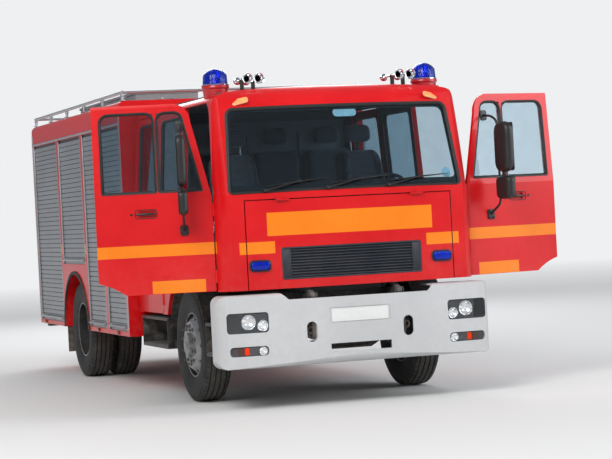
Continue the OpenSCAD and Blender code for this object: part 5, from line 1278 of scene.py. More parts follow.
piece("beacon_mirrors", shifted(mirror, *beacon_spots), lamp_chrome, "cab", "blue_lens", smooth=60)

horns = [placed(trumpet(length), (x, horn_mouth_y, horn_z), (0, -1, 0))
    for x, length in zip(horn_x, horn_length)]
stand_part = together(shifted(rounded_block((0.028, 0.036, 0.11), 0.004, 0.0015, 2, 1), (0, 0, 0.05)),
    placed(turned(((0.0165, -0.012), (0.0185, -0.012), (0.0185, 0.012), (0.0165, 0.012), (0.0165, -0.012)),
    24), (0, 0, 0.098), (0, 1, 0)))
stands = shifted(stand_part, *[(x, horn_mouth_y + 0.19, roof_z - 0.03) for x in horn_x])
piece("trumpets", both_sides(together(*horns)), horn_chrome, "cab", "horn_chrome", ["air_horns"], smooth=45)
piece("trumpet_stands", both_sides(stands), base_black, "cab", "horn_chrome")

marker_x, marker_lift = marker_at
marker_dy = math.sqrt(brow_r ** 2 - marker_lift ** 2)
marker_move = aim((marker_x, brow_centre[0] - marker_dy, brow_centre[1] + marker_lift),
    (0.12, -marker_dy, marker_lift))
marker_lens = shifted(rounded_block((0.13, 0.05, 0.016), 0.018, 0.006), (0, 0, 0.006))
marker_base = rounded_block((0.14, 0.058, 0.012), 0.02, 0.003)
piece("marker_lenses", both_sides(repeated(marker_lens, [marker_move])), marker_clear, "cab", "lamp_lens")
piece("marker_bases", both_sides(repeated(marker_base, [marker_move])), marker_back, "cab", "lamp_lens")

# Seats
# Sprung foam under dark woven cloth with leatherette sides, on folded black pedestals; the crew sits four
# abreast on a steel box. Every pad is a closed form blown up as cloth, with its seams drawn in afterwards.
seat_x = 0.6
seat_middle_y = front_axle_y - 0.23
cushion_z = 1.565
back_foot = (front_axle_y - 0.085, 1.65)
back_lean = math.radians(10)
insert_half = 0.152
thread_pitch = 0.0024
bench_pitch = 0.53
bench_face_y = front_axle_y + 1.085
bench_rear_y = front_axle_y + 1.57
bench_box = ((front_axle_y + 1.2, front_axle_y + 1.58), (1.18, 1.52))


def swell(low, high, value):
    """An even step from 0 at low to 1 at high: 3 t^2 - 2 t^3."""
    share = np.clip((value - low) / (high - low), 0, 1)
    return share * share * (3 - 2 * share)


def slab(size, spot, direction=(0, 0, 1), across=(1, 0, 0), corner=0.006, edge=0.003):
    """A round-cornered plate whose thickness lies along direction."""
    return placed(rounded_block(size, corner, edge), spot, direction, across)


def shell_of(part, voxel):
    """The part as an object whose surface is even quads, each about one voxel wide."""
    points, quads = part
    mesh = bpy.data.meshes.new("pad")
    mesh.from_pydata(points.tolist(), [], quads.tolist())
    pad = bpy.data.objects.new("pad", welded(mesh))
    bpy.context.scene.collection.objects.link(pad)
    remesh = pad.modifiers.new("Remesh", "REMESH")
    remesh.mode = "VOXEL"
    remesh.voxel_size = voxel
    even = bpy.data.meshes.new_from_object(pad.evaluated_get(bpy.context.evaluated_depsgraph_get()))
    pad.modifiers.remove(remesh)
    pad.data = even
    return pad


def coordinates(mesh):
    """Every vertex of a mesh, as an array."""
    points = np.empty(len(mesh.vertices) * 3, dtype=np.float32)
    mesh.vertices.foreach_get("co", points)
    return points.reshape(-1, 3).astype(float)


def padded_form(size, corner, edge, mould, voxel, cap, seams):
    """A pad about its middle, face up: its even shell is moulded, blown up as cloth for 20 frames with each
    move m kept to cap tanh(m / cap), and each seam then draws the face in."""
    pad = shell_of(rounded_block(np.array(size) - 1.1 * cap, corner, edge, 6, 6), voxel)
    before = mould(coordinates(pad.data))
    pad.data.vertices.foreach_set("co", before.astype(np.float32).ravel())
    after = before
    cloth = pad.modifiers.new("Cloth", "CLOTH")
    cloth.settings.quality = 4
    cloth.settings.use_pressure = True
    cloth.settings.uniform_pressure_force = 4.0
    cloth.settings.effector_weights.gravity = 0.0
    for step in range(1, 21):
        bpy.context.scene.frame_set(step)
    blown = pad.evaluated_get(bpy.context.evaluated_depsgraph_get())
    move = coordinates(blown.data) - before
    reach = np.linalg.norm(move, axis=1, keepdims=True) + 1e-9
    after = before + move / reach * cap * np.tanh(reach / cap)
    bpy.context.scene.frame_set(1)
    quads = np.array([face.vertices[:] for face in pad.data.polygons if len(face.vertices) == 4])
    bpy.data.objects.remove(pad)
    after = after.copy()
    after[:, 2] -= seams(after) * swell(0.0, 0.4 * size[2], after[:, 2])
    return after, quads


def groove(distance, width=0.006, depth=0.007):
    """How far a seam draws the cloth in at a distance from it: depth exp(-(d / width)^2)."""
    return depth * np.exp(-(distance / width) ** 2)


def nearest(value, lines):
    """The distance to the nearest of several seams."""
    return np.min(np.abs(value[:, None] - np.asarray(lines)[None, :]), axis=1)


def driver_cushion(points):
    """Side bolsters 26 mm proud, a dished middle, and a front edge that rolls down."""
    x, y, z = points.T
    face = swell(0, 0.05, z)
    bolster = swell(insert_half - 0.02, insert_half + 0.035, np.abs(x))
    roll = swell(0.12, 0.25, -y)
    return np.column_stack((x, y, z + face * (0.026 * bolster - 0.008 * (1 - bolster) - 0.03 * roll)))


def driver_back(points):
    """Shoulders drawn in by a fifth, side bolsters 30 mm proud, and a lumbar swell low down."""
    x, y, z = points.T
    face = swell(0, 0.04, z)
    bolster = swell(insert_half - 0.03, insert_half + 0.03, np.abs(x)) * (1 - 0.7 * swell(0.1, 0.25, y))
    lumbar = np.exp(-((y + 0.12) / 0.09) ** 2)
    return np.column_stack((x * (1 - 0.2 * swell(-0.1, 0.3, y)), y,
        z + face * (0.03 * bolster + 0.014 * lumbar * (1 - bolster))))


def plain_pad(points):
    """A form that needs no moulding."""
    return points


def driver_seams(lines_y):
    """Two long seams beside the insert, and channels across it."""
    def drawn(points):
        x, y, _ = points.T
        within = swell(insert_half + 0.004, insert_half - 0.004, np.abs(x))
        return np.maximum(groove(np.abs(x) - insert_half), within * groove(nearest(y, lines_y), 0.006, 0.005))
    return drawn


def bench_seams(reach_y):
    """A border seam 45 mm inside the edge and two channels across."""
    def drawn(points):
        x, y, _ = points.T
        inside = np.minimum(0.212 - np.abs(x), reach_y - np.abs(y))
        return np.maximum(groove(inside), np.where(inside > 0,
            groove(nearest(y, (-reach_y / 3, reach_y / 3)), 0.006, 0.004), 0))
    return drawn


def no_seams(points):
    """A small pad with none."""
    return np.zeros(len(points))


def stood(part, y, z, lean, places=(0,)):
    """The part at each place across the cab, on edge with its face ahead, leaning back by lean."""
    move = np.eye(4)
    move[:3, :3] = np.column_stack(((1, 0, 0), (0, math.sin(lean), math.cos(lean)),
        (0, -math.cos(lean), math.sin(lean))))
    return shifted(repeated(part, [move]), *[(x, y, z) for x in places])


back_middle = (back_foot[0] + 0.055 * math.cos(back_lean) + 0.28 * math.sin(back_lean),
    back_foot[1] - 0.055 * math.sin(back_lean) + 0.28 * math.cos(back_lean))
both_seats = (-seat_x, seat_x)
crew_places = tuple(bench_pitch * (place - 1.5) for place in range(4))
cushion = padded_form((0.48, 0.5, 0.125), 0.07, 0.045, driver_cushion, 0.0075, 0.012,
    driver_seams((-0.13, -0.06, 0.01, 0.08, 0.15)))
backrest = padded_form((0.48, 0.56, 0.11), 0.09, 0.045, driver_back, 0.0075, 0.012,
    driver_seams((-0.19, -0.12, -0.05, 0.02, 0.09, 0.16)))
headrest = padded_form((0.26, 0.17, 0.085), 0.05, 0.035, plain_pad, 0.0075, 0.01, no_seams)
crew_cushion = padded_form((0.515, 0.49, 0.12), 0.06, 0.04, plain_pad, 0.011, 0.014, bench_seams(0.2))
crew_back = padded_form((0.5, 0.61, 0.1), 0.06, 0.04, plain_pad, 0.011, 0.014, bench_seams(0.26))


def folded(section, x_reach):
    """A sheet's (y, z) outline carried across from -x_reach to x_reach and closed at both ends."""
    section = np.asarray(section, dtype=float)
    return capped(np.stack([points_at(x, *section.T) for x in (-x_reach, x_reach)]))


def pedestal():
    """A seat's bellows: a stack of folds from the floor to the pan, each fold 22 mm deep, under a tray."""
    loops = []
    for share in np.linspace(0, 1, 57):
        wave = 0.011 * math.cos(14 * math.pi * share)
        loops.append(points_at(*rectangle(0.165 + wave, 0.17 + wave, 0.04).T, 1.2 + 0.25 * share))
    bellows = shifted(capped(np.stack(loops)), (0, seat_middle_y, 0))
    tray = slab((0.44, 0.44, 0.05), (0, seat_middle_y + 0.01, 1.478), corner=0.05, edge=0.02)
    foot = slab((0.4, 0.4, 0.022), (0, seat_middle_y, 1.192), corner=0.03, edge=0.006)
    shell = stood(rounded_block((0.44, 0.54, 0.024), 0.09, 0.01), back_middle[0] + 0.058,
        back_middle[1] - 0.01, back_lean)
    return together(bellows, tray, foot, shell)


def seat_fittings():
    """Headrest stems, the belt buckle on its stalk, and the levers beside the pan."""
    head_y, head_z = front_axle_y + 0.075, 2.2
    stems = together(*[tube(((x, head_y - 0.01, head_z - 0.04), (x, head_y + 0.004, head_z + 0.09)), 0.0065,
        10) for x in (-0.07, 0.07)])
    stalk = tube(rounded(((-0.25, seat_middle_y + 0.15, 1.48), (-0.255, seat_middle_y + 0.14, 1.58),
        (-0.25, seat_middle_y + 0.11, 1.64)), 0.04), 0.006, 8)
    buckle = slab((0.024, 0.055, 0.085), (-0.25, seat_middle_y + 0.105, 1.67), corner=0.008, edge=0.005)
    levers = together(*[tube(((0.2, seat_middle_y + y, 1.475), (0.25, seat_middle_y + y - 0.01, 1.475),
        (0.262, seat_middle_y + y - 0.05, 1.48)), 0.007, 10) for y in (-0.12, 0.02)])
    return together(stems, stalk, buckle, levers)


def insert_mask(spot, facing):
    """The woven middle of the front seats, between the side bolsters."""
    return abs(abs(spot.x) - seat_x) < insert_half


def woven(name, color, weft, *bands):
    """Cloth: a bump of crossed threads, their colour varied with the weave."""
    material = finish(name, color, 0.85, dust=0.12, grain=700, depth=0.2, bands=bands, Sheen_Weight=0.3)
    tree = material.node_tree
    shader = tree.nodes["Principled BSDF"]
    spot = axes(tree)
    waves = 2 * math.pi / thread_pitch
    thread = (spot.x * waves).math("SINE") * ((spot.y + spot.z) * waves).math("SINE")
    base = shader.inputs["Base Color"].links[0].from_socket
    feed(shader, {"Normal": bump(tree, thread, 0.5, 0.0006),
        "Base Color": mix(tree, thread.ramp(-1.0, 1.0, 0.0, 0.35), base, weft)})
    return material


leatherette = (0.016, 0.016, 0.018, 1)
seat_cloth = woven("seat_cloth", leatherette, (0.05, 0.052, 0.06, 1), (insert_mask, (0.05, 0.055, 0.075, 1)))
crew_cloth = woven("crew_cloth", (0.03, 0.032, 0.04, 1), (0.07, 0.073, 0.085, 1))
seat_black = finish("seat_black", (0.018, 0.018, 0.019, 1), 0.55, dust=0.25, grain=700, depth=0.2)
seat_chrome = finish("seat_chrome", (0.6, 0.61, 0.62, 1), 0.2, dust=0.05, grain=200, depth=0.05, metallic=1.0)
bench_paint = finish("bench_paint", (0.09, 0.093, 0.1, 1), 0.5, dust=0.3, grain=500, depth=0.25)


def soft(name, part, material, replaced=()):
    """A padded piece on the cab."""
    made = piece(name, part, material, "cab", "seat_cloth", replaced, smooth=80)


seat_spots = [(x, 0, 0) for x in both_seats]
bench_middle_y = (bench_face_y + bench_rear_y) / 2
soft("seat_cushions", shifted(cushion, *[(x, seat_middle_y, cushion_z) for x in both_seats]), seat_cloth,
    ["front_seats"])
soft("seat_backs", stood(backrest, *back_middle, back_lean, both_seats), seat_cloth)
soft("seat_headrests", stood(headrest, front_axle_y + 0.085, 2.33, back_lean, both_seats), seat_cloth)
soft("crew_cushions", shifted(crew_cushion, *[(x, bench_middle_y, 1.58) for x in crew_places]), crew_cloth,
    ["crew_bench"])
soft("crew_backs", stood(crew_back, front_axle_y + 1.518, 1.965, 0.03, crew_places), crew_cloth)
soft("crew_headrests", stood(headrest, front_axle_y + 1.53, 2.39, 0.03, crew_places), crew_cloth)
piece("seat_pedestals", shifted(pedestal(), *seat_spots), seat_black, "cab", "seat_cloth", smooth=40)
piece("seat_fittings", shifted(seat_fittings(), *seat_spots), seat_chrome, "cab", "seat_cloth", smooth=40)


def bench_body():
    """A folded steel box with four lift-out fronts, each a plate 6 mm proud with a slotted grip, and a back
    frame."""
    (y0, y1), (z0, z1) = bench_box
    box = folded(((y0, z0 + 0.002), (y1, z0 + 0.002), (y1, z1), (y0 - 0.05, z1), (y0 - 0.05, z1 - 0.03),
        (y0, z1 - 0.035)), 1.055)
    front = [slab((0.49, 0.25, 0.012), (x, y0 - 0.003, 1.335), (0, -1, 0), corner=0.02) for x in crew_places]
    grip = [slab((0.11, 0.026, 0.012), (x, y0 - 0.012, 1.42), (0, -1, 0), corner=0.0125, edge=0.004)
        for x in crew_places]
    uprights = together(*[tube(((x, y1 - 0.012, 1.5), (x, y1 - 0.012, 2.42)), 0.014, 12, (0, 1, 0))
        for x in np.arange(-2, 3) * bench_pitch * 0.985])
    rails = together(*[tube(((-1.05, y1 - 0.012, z), (1.05, y1 - 0.012, z)), 0.014, 12, (0, 1, 0))
        for z in (1.72, 2.24)])
    return together(box, *front, *grip, uprights, rails)


piece("bench_body", bench_body(), bench_paint, "cab", "cab_plastic")

# Front doors: handles, trims and mirrors
# Hinged steel doors that stand open, each with a black pull handle, a grey trim card with an armrest,
# rubber round the glass, and two black mirrors on a tube frame. They are laid out as on a shut door, then
# turned to where it stands.
door_rest = math.radians(75)
door_hinge_at = np.array((1.15, front_axle_y - 1.14, 0.0))
door_end_y = front_axle_y - 0.15
door_wall = 0.05
door_sill_z = 1.0
window_sill_z = 1.86
window_top_z = 2.52
window_nose = 0.075
window_round = 0.07
divider_y = door_hinge_at[1] + 0.44
divider_w = 0.028
handle_y = door_hinge_at[1] + 0.55
handle_z = 1.68
side_slope = 0.06 / (2.72 - 0.055 - belt_z)
pillar_slope = math.tan(screen_lean)
wheel_arch_r = 0.625


def side_x(z, inset):
    """X of the cab's side at height z, drawn in by inset: upright to the waist, then leaning in."""
    return cab_half - inset - side_slope * np.clip(z - belt_z, 0, None)


def on_side(y, z, inset):
    """A point of a shut door's skin, inset behind it."""
    return points_at(side_x(z, inset), y, z)


def pillar_y(z):
    """Where the door's leaning front edge is at height z."""
    return door_hinge_at[1] + pillar_slope * (z - belt_z)


def opened(part):
    """The left door's part turned about its hinge to where the open door stands."""
    points, quads = part
    turn = np.array(((math.cos(door_rest), math.sin(door_rest), 0),
        (-math.sin(door_rest), math.cos(door_rest), 0), (0, 0, 1)))
    return (points - door_hinge_at) @ turn.T + door_hinge_at, quads


def side_pieces(name, part, material, slot, replaced="", body="front_door", move=opened, **settings):
    """The left piece and its mirror image, each on its own side's body."""
    left = move(part)
    for side, made in (("left", left), ("right", mirrored(left))):
        piece(f"{name}_{side}", made, material, f"{body}_{side}", slot,
            [f"{replaced}_{side}"] if replaced else (), **settings)


def window_loop(y0, y1, lean):
    """A side window's outline as (y, z) from y0 to y1: the foot square, the head rounded, the front edge
    leaning."""
    turn = np.linspace(0, np.pi / 2, 6)
    back = np.column_stack((y1 - window_round + window_round * np.cos(turn),
        window_top_z - window_round + window_round * np.sin(turn)))
    nose = y0 + lean * (window_top_z - window_round - window_sill_z) + window_round
    front = np.column_stack((nose - window_round * np.sin(turn),
        window_top_z - window_round + window_round * np.cos(turn)))
    return np.vstack(((y0, window_sill_z), (y1, window_sill_z), back, front))


def side_seal(loop, depth):
    """A rubber lip round a window, from 3 mm proud of the skin to depth behind it."""
    section = ((0.001, depth), (-0.012, 0.0135), (-0.012, 0.0115), (-0.002, 0.0005), (0.004, -0.003),
        (0.010, -0.003), (0.0125, 0.0), (0.001, 0.002))
    return frame_round(loop, section, 160, on_side)


def trim_card():
    """A pressed card over the door's inside, 12 mm thick, with round edges, a raised field, and its lower
    front cut to the wheel arch: rows from the arch's rim or just above the cab's floor up to the waist."""
    u = np.linspace(0, 1, 60)
    v = np.linspace(0, 1, 44)
    y = door_hinge_at[1] + 0.07 + u * (door_end_y - 0.06 - door_hinge_at[1] - 0.07)
    clear = wheel_arch_r + 0.06
    arch = wheel_z + np.sqrt(np.clip(clear ** 2 - (y - front_axle_y) ** 2, 0, None))
    low = np.maximum(door_sill_z + 0.192, np.where(np.abs(y - front_axle_y) < clear, arch, 0))
    z = low + v[:, None] * (belt_z - low)
    edge = np.minimum(np.minimum(u, 1 - u) * 0.86, np.minimum(z - low, belt_z - z))
    field = 0.5 + 0.5 * np.tanh((edge - 0.075) / 0.006)
    rise = 0.0035 + 0.004 * np.clip(edge / 0.012, 0, 1) ** 0.5 + 0.004 * field
    pocket = np.exp(-(((y - door_hinge_at[1] - 0.52) / 0.26) ** 6 + ((z - 1.28) / 0.06) ** 6))
    back = on_side(y, z, door_wall + 0.0005)
    return plate(back - points_at(rise - 0.003 * pocket, 0, 0), back)


def armrest():
    """A padded pull 380 mm long."""
    share = np.linspace(0, 1, 25)[:, None]
    turn = np.linspace(0, 2 * np.pi, 20, endpoint=False)
    girth = np.sqrt(np.clip(1 - (2 * share - 1) ** 8, 0.02, 1))
    return capped(points_at(side_x(1.5, door_wall) - 0.03 + 0.028 * girth * np.cos(turn),
        door_hinge_at[1] + 0.36 + 0.4 * share, 1.5 + 0.05 * share + 0.021 * girth * np.sin(turn)))


def pull_handle():
    """A bowed grip in front of a shell-shaped cup, with a lock barrel behind it."""
    share = np.linspace(0, 1, 21)
    y = handle_y - 0.07 + 0.165 * share
    bow = 0.004 + 0.008 * np.sin(np.pi * share)
    grip = tube(points_at(cab_half - 0.002 + bow, y, handle_z), 0.0085 + 0.002 * np.sin(np.pi * share), 14)
    bezel_loop = rectangle(0.088, 0.034, 0.02) + (handle_y + 0.012, handle_z)
    bezel = frame_round(bezel_loop, ((-0.001, 0.012), (-0.001, -0.001), (0.003, -0.0035), (0.006, -0.001),
        (0.006, 0.002)), 90, on_side)
    lock = placed(turned(((0, 0.006), (0.008, 0.006), (0.011, 0.003), (0.011, -0.004), (0, -0.004)), 24),
        (cab_half, handle_y + 0.135, handle_z), (1, 0, 0), (0, 1, 0))
    return together(grip, bezel, lock)


def window_lock():
    """A winder: a boss, a crank and its knob."""
    base = (side_x(1.42, door_wall) - 0.012, door_hinge_at[1] + 0.3, 1.42)
    boss = placed(turned(((0, 0.024), (0.012, 0.024), (0.02, 0.018), (0.024, 0), (0, 0)), 24), base,
        (-1, 0, 0), (0, 1, 0))
    arm = tube(rounded(((base[0] - 0.018, base[1], base[2]), (base[0] - 0.026, base[1] + 0.05,
        base[2] + 0.03), (base[0] - 0.022, base[1] + 0.11, base[2] + 0.06)), 0.02), 0.0065, 10)
    knob = placed(turned(((0, 0.03), (0.009, 0.029), (0.012, 0.022), (0.01, 0.004), (0, 0.003)), 20),
        (base[0] - 0.02, base[1] + 0.11, base[2] + 0.06), (-1, 0, 0), (0, 1, 0))
    return together(boss, arm, knob)


def mirror_head(low, high):
    """A housing with a rounded back: sections up Z, each a half oval closed by the flat side of the glass."""
    width, depth = 0.105, 0.078
    rise = np.linspace(-1, 1, 25)[:, None]
    shrink = np.sqrt(np.clip(1 - np.abs(rise) ** 7, 0.03, 1))
    turn = np.linspace(0, 2 * np.pi, 32, endpoint=False)
    x = np.sign(np.cos(turn)) * np.abs(np.cos(turn)) ** 0.45
    y = np.where(np.sin(turn) < 0, -np.abs(np.sin(turn)) ** 0.8 * 0.72, np.abs(np.sin(turn)) ** 0.25 * 0.28)
    return capped(points_at(shrink * width * x, (0.4 + 0.6 * shrink) * depth * y,
        (low + high) / 2 + rise * (high - low) / 2))


def mirror_rim(height):
    """A rubber rim round a glass: a loop drawn in by inset and lifted at each corner of its section."""
    section = ((0, -0.002), (0, 0.003), (0.004, 0.004), (0.0075, 0.001), (0.0075, -0.002))
    loops = [points_at(*rectangle(0.095, height / 2 - 0.01, 0.024, inset).T, lift)
        for inset, lift in section]
    return lattice(np.stack(loops), wrap_rows=True, wrap_columns=True)


mirror_post = np.array((1.3, door_hinge_at[1] + 0.25))
mirror_heads = ((1.655, 1.862), (1.89, 2.33))
head_at = np.array((mirror_post[0] + 0.075, mirror_post[1] + 0.012, 0))
heads = shifted(together(*[mirror_head(low, high) for low, high in mirror_heads]), head_at)
glass_moves = [(aim((head_at[0], head_at[1] + 0.0225, (low + high) / 2), (0, 1, 0)), high - low)
    for low, high in mirror_heads]
mirror_faces = together(*[repeated(rounded_block((0.178, height - 0.032, 0.003), 0.02, 0.001), [move])
    for move, height in glass_moves])
mirror_rims = together(*[repeated(mirror_rim(height), [move]) for move, height in glass_moves])
foot_spot = (1.155, mirror_post[1], 1.53)
head_spot = (side_x(2.4, 0) + 0.004, mirror_post[1], 2.4)
mirror_path = (foot_spot, (1.2, mirror_post[1], 1.56), (*mirror_post, 1.62), (*mirror_post, 2.34),
    (1.22, mirror_post[1], 2.39), head_spot)
mirror_tube = tube(rounded(mirror_path, 0.05, 8), 0.0105, 14, (0, 1, 0))
mirror_feet = together(repeated(rounded_block((0.07, 0.09, 0.014), 0.02, 0.004),
    [aim((1.156, mirror_post[1], 1.53), (1, 0, 0), (0, 1, 0)),
    aim((side_x(2.4, 0) + 0.005, mirror_post[1], 2.4), (1, 0, side_slope), (0, 1, 0))]),
    repeated(bolt, [aim((1.163, mirror_post[1] + dy, 1.53 + dz), (1, 0, 0), (0, 1, 0))
    for dy in (-0.022, 0.022) for dz in (-0.03, 0.03)]))
clamps = shifted(turned(((0.0105, -0.013), (0.0165, -0.013), (0.0165, 0.013), (0.0105, 0.013),
    (0.0105, -0.013)), 20), *[(*mirror_post, z) for z in (1.7, 1.82, 1.96, 2.26)])

trim_grey = finish("trim_grey", (0.13, 0.135, 0.14, 1), 0.6, dust=0.1, grain=950, depth=0.35)
handle_black = finish("handle_black", (0.012, 0.012, 0.013, 1), 0.35, dust=0.12, grain=800, depth=0.1)
mirror_black = finish("mirror_black", (0.011, 0.011, 0.012, 1), 0.42, dust=0.15, grain=850, depth=0.3)
mirror_silver = finish("mirror_silver", (0.86, 0.88, 0.9, 1), 0.03, dust=0.0, grain=30, depth=0.01,
    metallic=1.0)
quarter_light = window_loop(pillar_y(window_sill_z) + window_nose, divider_y, pillar_slope)
front_pane = window_loop(divider_y + divider_w, door_end_y - window_nose, 0.0)
side_pieces("door_seals", together(side_seal(quarter_light, 0.045), side_seal(front_pane, 0.045)),
    seal_rubber, "cab_plastic", smooth=45)
side_pieces("door_cards", trim_card(), trim_grey, "cab_plastic", smooth=30)
side_pieces("door_pulls", together(armrest(), window_lock()), handle_black, "cab_plastic", smooth=40)
side_pieces("door_handles", pull_handle(), handle_black, "cab_plastic", smooth=40)
side_pieces("mirror_housings", heads, mirror_black, "cab_plastic", "mirror", smooth=40)
side_pieces("mirror_glasses", mirror_faces, mirror_silver, "horn_chrome", smooth=30)
side_pieces("mirror_rims", mirror_rims, handle_black, "cab_plastic", smooth=30)
side_pieces("mirror_tubes", together(mirror_tube, mirror_feet, clamps), mirror_black, "cab_plastic",
    smooth=40)

crew_door_y = (front_axle_y + 0.695, front_axle_y + 1.535)
middle_pane = window_loop(door_end_y + window_nose, crew_door_y[0] - window_nose, 0.0)
crew_pane = window_loop(crew_door_y[0] + window_nose, crew_door_y[1] - window_nose, 0.0)
crew_handle_y = crew_door_y[1] - 0.09


def round_pane(loop):
    """The same outline with its lower corners rounded too."""
    (y0, z0), (y1, z1) = loop.min(axis=0), loop.max(axis=0)
    return rectangle((y1 - y0) / 2, (z1 - z0) / 2, window_round) + ((y0 + y1) / 2, (z0 + z1) / 2)


def as_shut(part):
    """A crew door is shut at rest, so its part stays where it is."""
    return part


side_pieces("crew_seals", side_seal(round_pane(crew_pane), 0.045), seal_rubber, "cab_plastic",
    body="rear_door", move=as_shut, smooth=45)
piece("middle_seals", both_sides(side_seal(round_pane(middle_pane), 0.045)), seal_rubber, "cab",
    "cab_plastic", smooth=45)
side_pieces("crew_handles", shifted(pull_handle(), (0, crew_handle_y - 0.07 - handle_y, 0)), handle_black,
    "cab_plastic", body="rear_door", move=as_shut, smooth=40)

# Dashboard, steering wheel and cab trim
# Soft black moulding with a hooded binnacle, round vents, rocker switches and a radio; a ribbed rubber mat;
# a padded headlining with a roof console; the wheel has a grip with finger swells and a padded boss.
dash_face_y = front_axle_y - 0.955
driver_x = 0.48
wheel_spot = (driver_x, front_axle_y - 0.8, 1.8)
wheel_tilt = math.radians(35)
wheel_axis = np.array((0, math.sin(wheel_tilt), math.cos(wheel_tilt)))
wheel_reach = 0.211
grip_r = 0.0148
cabin_floor = 1.18
hood_half = 0.235


def on_dash(x, z, lift=0.0):
    """A matrix for something on the dashboard's rear face: local Z looks back at the seats, tipped up a
    little."""
    lean = (1.72 - z) / 0.16 * 0.01
    return aim((x, dash_face_y - lean + 0.002 + lift, z), (0, 1, 0.06))


def hood():
    """A cowl over the dials: arch 0.062 (1 - u^6) high across, rising from front to back and rolled at its
    lip."""
    u = np.linspace(-1, 1, 41)
    v = np.linspace(0, 1, 17)[:, None]
    arch = 0.062 * (1 - np.abs(u) ** 6) * swell(-0.1, 0.9, v)
    top = points_at(driver_x + hood_half * u, dash_face_y - 0.19 + 0.225 * v - 0.02 * np.abs(u) ** 4,
        1.782 + arch - 0.014 * v - 0.006 * swell(0.9, 1.0, v))
    return plate(top, top - (0, 0, 0.006))


def dials():
    """Two large dials and three small ones: a bezel ring, a face, and a needle."""
    made = []
    for x, reach in ((-0.085, 0.05), (0.085, 0.05), (0.0, 0.027), (-0.172, 0.024), (0.172, 0.024)):
        spot = (driver_x + x, dash_face_y + 0.008, 1.782)
        bezel = turned(((reach - 0.004, 0.0), (reach - 0.003, 0.007), (reach, 0.009), (reach + 0.003, 0.006),
            (reach + 0.004, 0), (reach - 0.004, 0)), 36)
        needle = tube(((0, 0, 0.004), (reach * 0.45, reach * 0.5, 0.004)), 0.0012, 6)
        boss = turned(((0, 0.007), (0.004, 0.006), (0.005, 0.002), (0, 0.002)), 12)
        made.append(placed(together(bezel, needle, boss), spot, (0, 1, 0.42)))
    return together(*made)


def dial_faces():
    """The board behind the dials, and the screens of the radio and the tachograph."""
    board = slab((0.43, 0.125, 0.006), (driver_x, dash_face_y + 0.004, 1.781), (0, 1, 0.42), corner=0.05,
        edge=0.002)
    screens = repeated(rounded_block((0.1, 0.032, 0.004), 0.006, 0.0015),
        [on_dash(-0.02, 1.7, 0.014), on_dash(-0.02, 1.63, 0.014)])
    return together(board, screens)


def vent():
    """A round outlet: a ring, and five blades inside it."""
    ring = turned(((0.032, -0.004), (0.031, 0.007), (0.035, 0.01), (0.04, 0.006), (0.042, -0.002),
        (0.032, -0.004)), 32)
    blades = shifted(rounded_block((0.06, 0.002, 0.012), 0.0009, 0.0009, 2, 1),
        *[(0, y, 0.001) for y in np.linspace(-0.02, 0.02, 5)])
    return together(ring, blades)


def fascia():
    """Vents, two radio cases with knobs, rocker switches, a grab bar, column shroud and stalks, pedals,
    gear lever."""
    vents = repeated(vent(), [on_dash(x, 1.68) for x in (-0.92, -0.4, 0.16, 0.84)])
    cases = repeated(rounded_block((0.19, 0.056, 0.024), 0.006, 0.003),
        [on_dash(0.0, 1.7), on_dash(0.0, 1.63)])
    knobs = repeated(turned(((0, 0.014), (0.008, 0.014), (0.0095, 0.012), (0.0105, 0), (0, 0)), 18),
        [on_dash(x, z, 0.012) for x in (0.062, 0.083) for z in (1.69, 1.62)])
    switches = repeated(rounded_block((0.021, 0.038, 0.014), 0.003, 0.004),
        [on_dash(x, z) for x in np.arange(7) * 0.026 - 0.3 for z in (1.7, 1.645)]
        + [on_dash(driver_x + x, 1.66) for x in (-0.2, -0.174, 0.174, 0.2)])
    bar = tube(rounded(((-0.86, dash_face_y - 0.02, 1.61), (-0.86, dash_face_y + 0.035, 1.61),
        (-0.52, dash_face_y + 0.035, 1.61), (-0.52, dash_face_y - 0.02, 1.61)), 0.04, 6), 0.011, 12,
        (0, 0, 1))
    foot = np.array(wheel_spot)
    shroud = tube([foot - wheel_axis * run for run in (0.085, 0.1, 0.16, 0.22, 0.26)],
        (0.038, 0.05, 0.056, 0.062, 0.064), 24, (1, 0, 0))
    stalks = [tube([foot - wheel_axis * 0.1 + np.array(step) for step in ((side * 0.03, 0, 0),
        (side * 0.1, 0.01, 0.01), (side * 0.155, 0.018, 0.018))], (0.005, 0.0055, 0.009), 10)
        for side in (-1, 1)]
    pedals = [slab((0.075, 0.12, 0.014), (driver_x + x, front_axle_y - 1.06, 1.29), (0, 0.8, 0.6),
        corner=0.012) for x in (-0.15, -0.02)]
    pedals.append(slab((0.06, 0.2, 0.014), (driver_x + 0.13, front_axle_y - 1.05, 1.28), (0, 0.75, 0.66),
        corner=0.02))
    arms = [tube(((driver_x + x, front_axle_y - 1.09, 1.42), (driver_x + x, front_axle_y - 1.07, 1.3)), 0.009,
        10, (1, 0, 0)) for x in (-0.15, -0.02, 0.13)]
    boot = placed(turned([(0.055 - 0.028 * s + 0.004 * math.cos(36 * s), 0.11 * s)
        for s in np.linspace(0, 1, 29)] + [(0, 0.11)], 24), (0.13, front_axle_y - 0.99, 1.675),
        (0, 0.25, 1))
    lever = tube(rounded(((0.13, front_axle_y - 0.97, 1.76), (0.14, front_axle_y - 0.93, 1.84),
        (0.15, front_axle_y - 0.9, 1.95)), 0.05), 0.0075, 10)
    knob = placed(turned(((0, 0.03), (0.012, 0.028), (0.021, 0.018), (0.023, 0.004), (0.016, -0.016),
        (0.009, -0.024), (0, -0.024)), 20), (0.15, front_axle_y - 0.895, 1.965), (0, 0.3, 1))
    return together(vents, cases, knobs, switches, bar, shroud, *stalks, *pedals, *arms, boot, lever, knob)


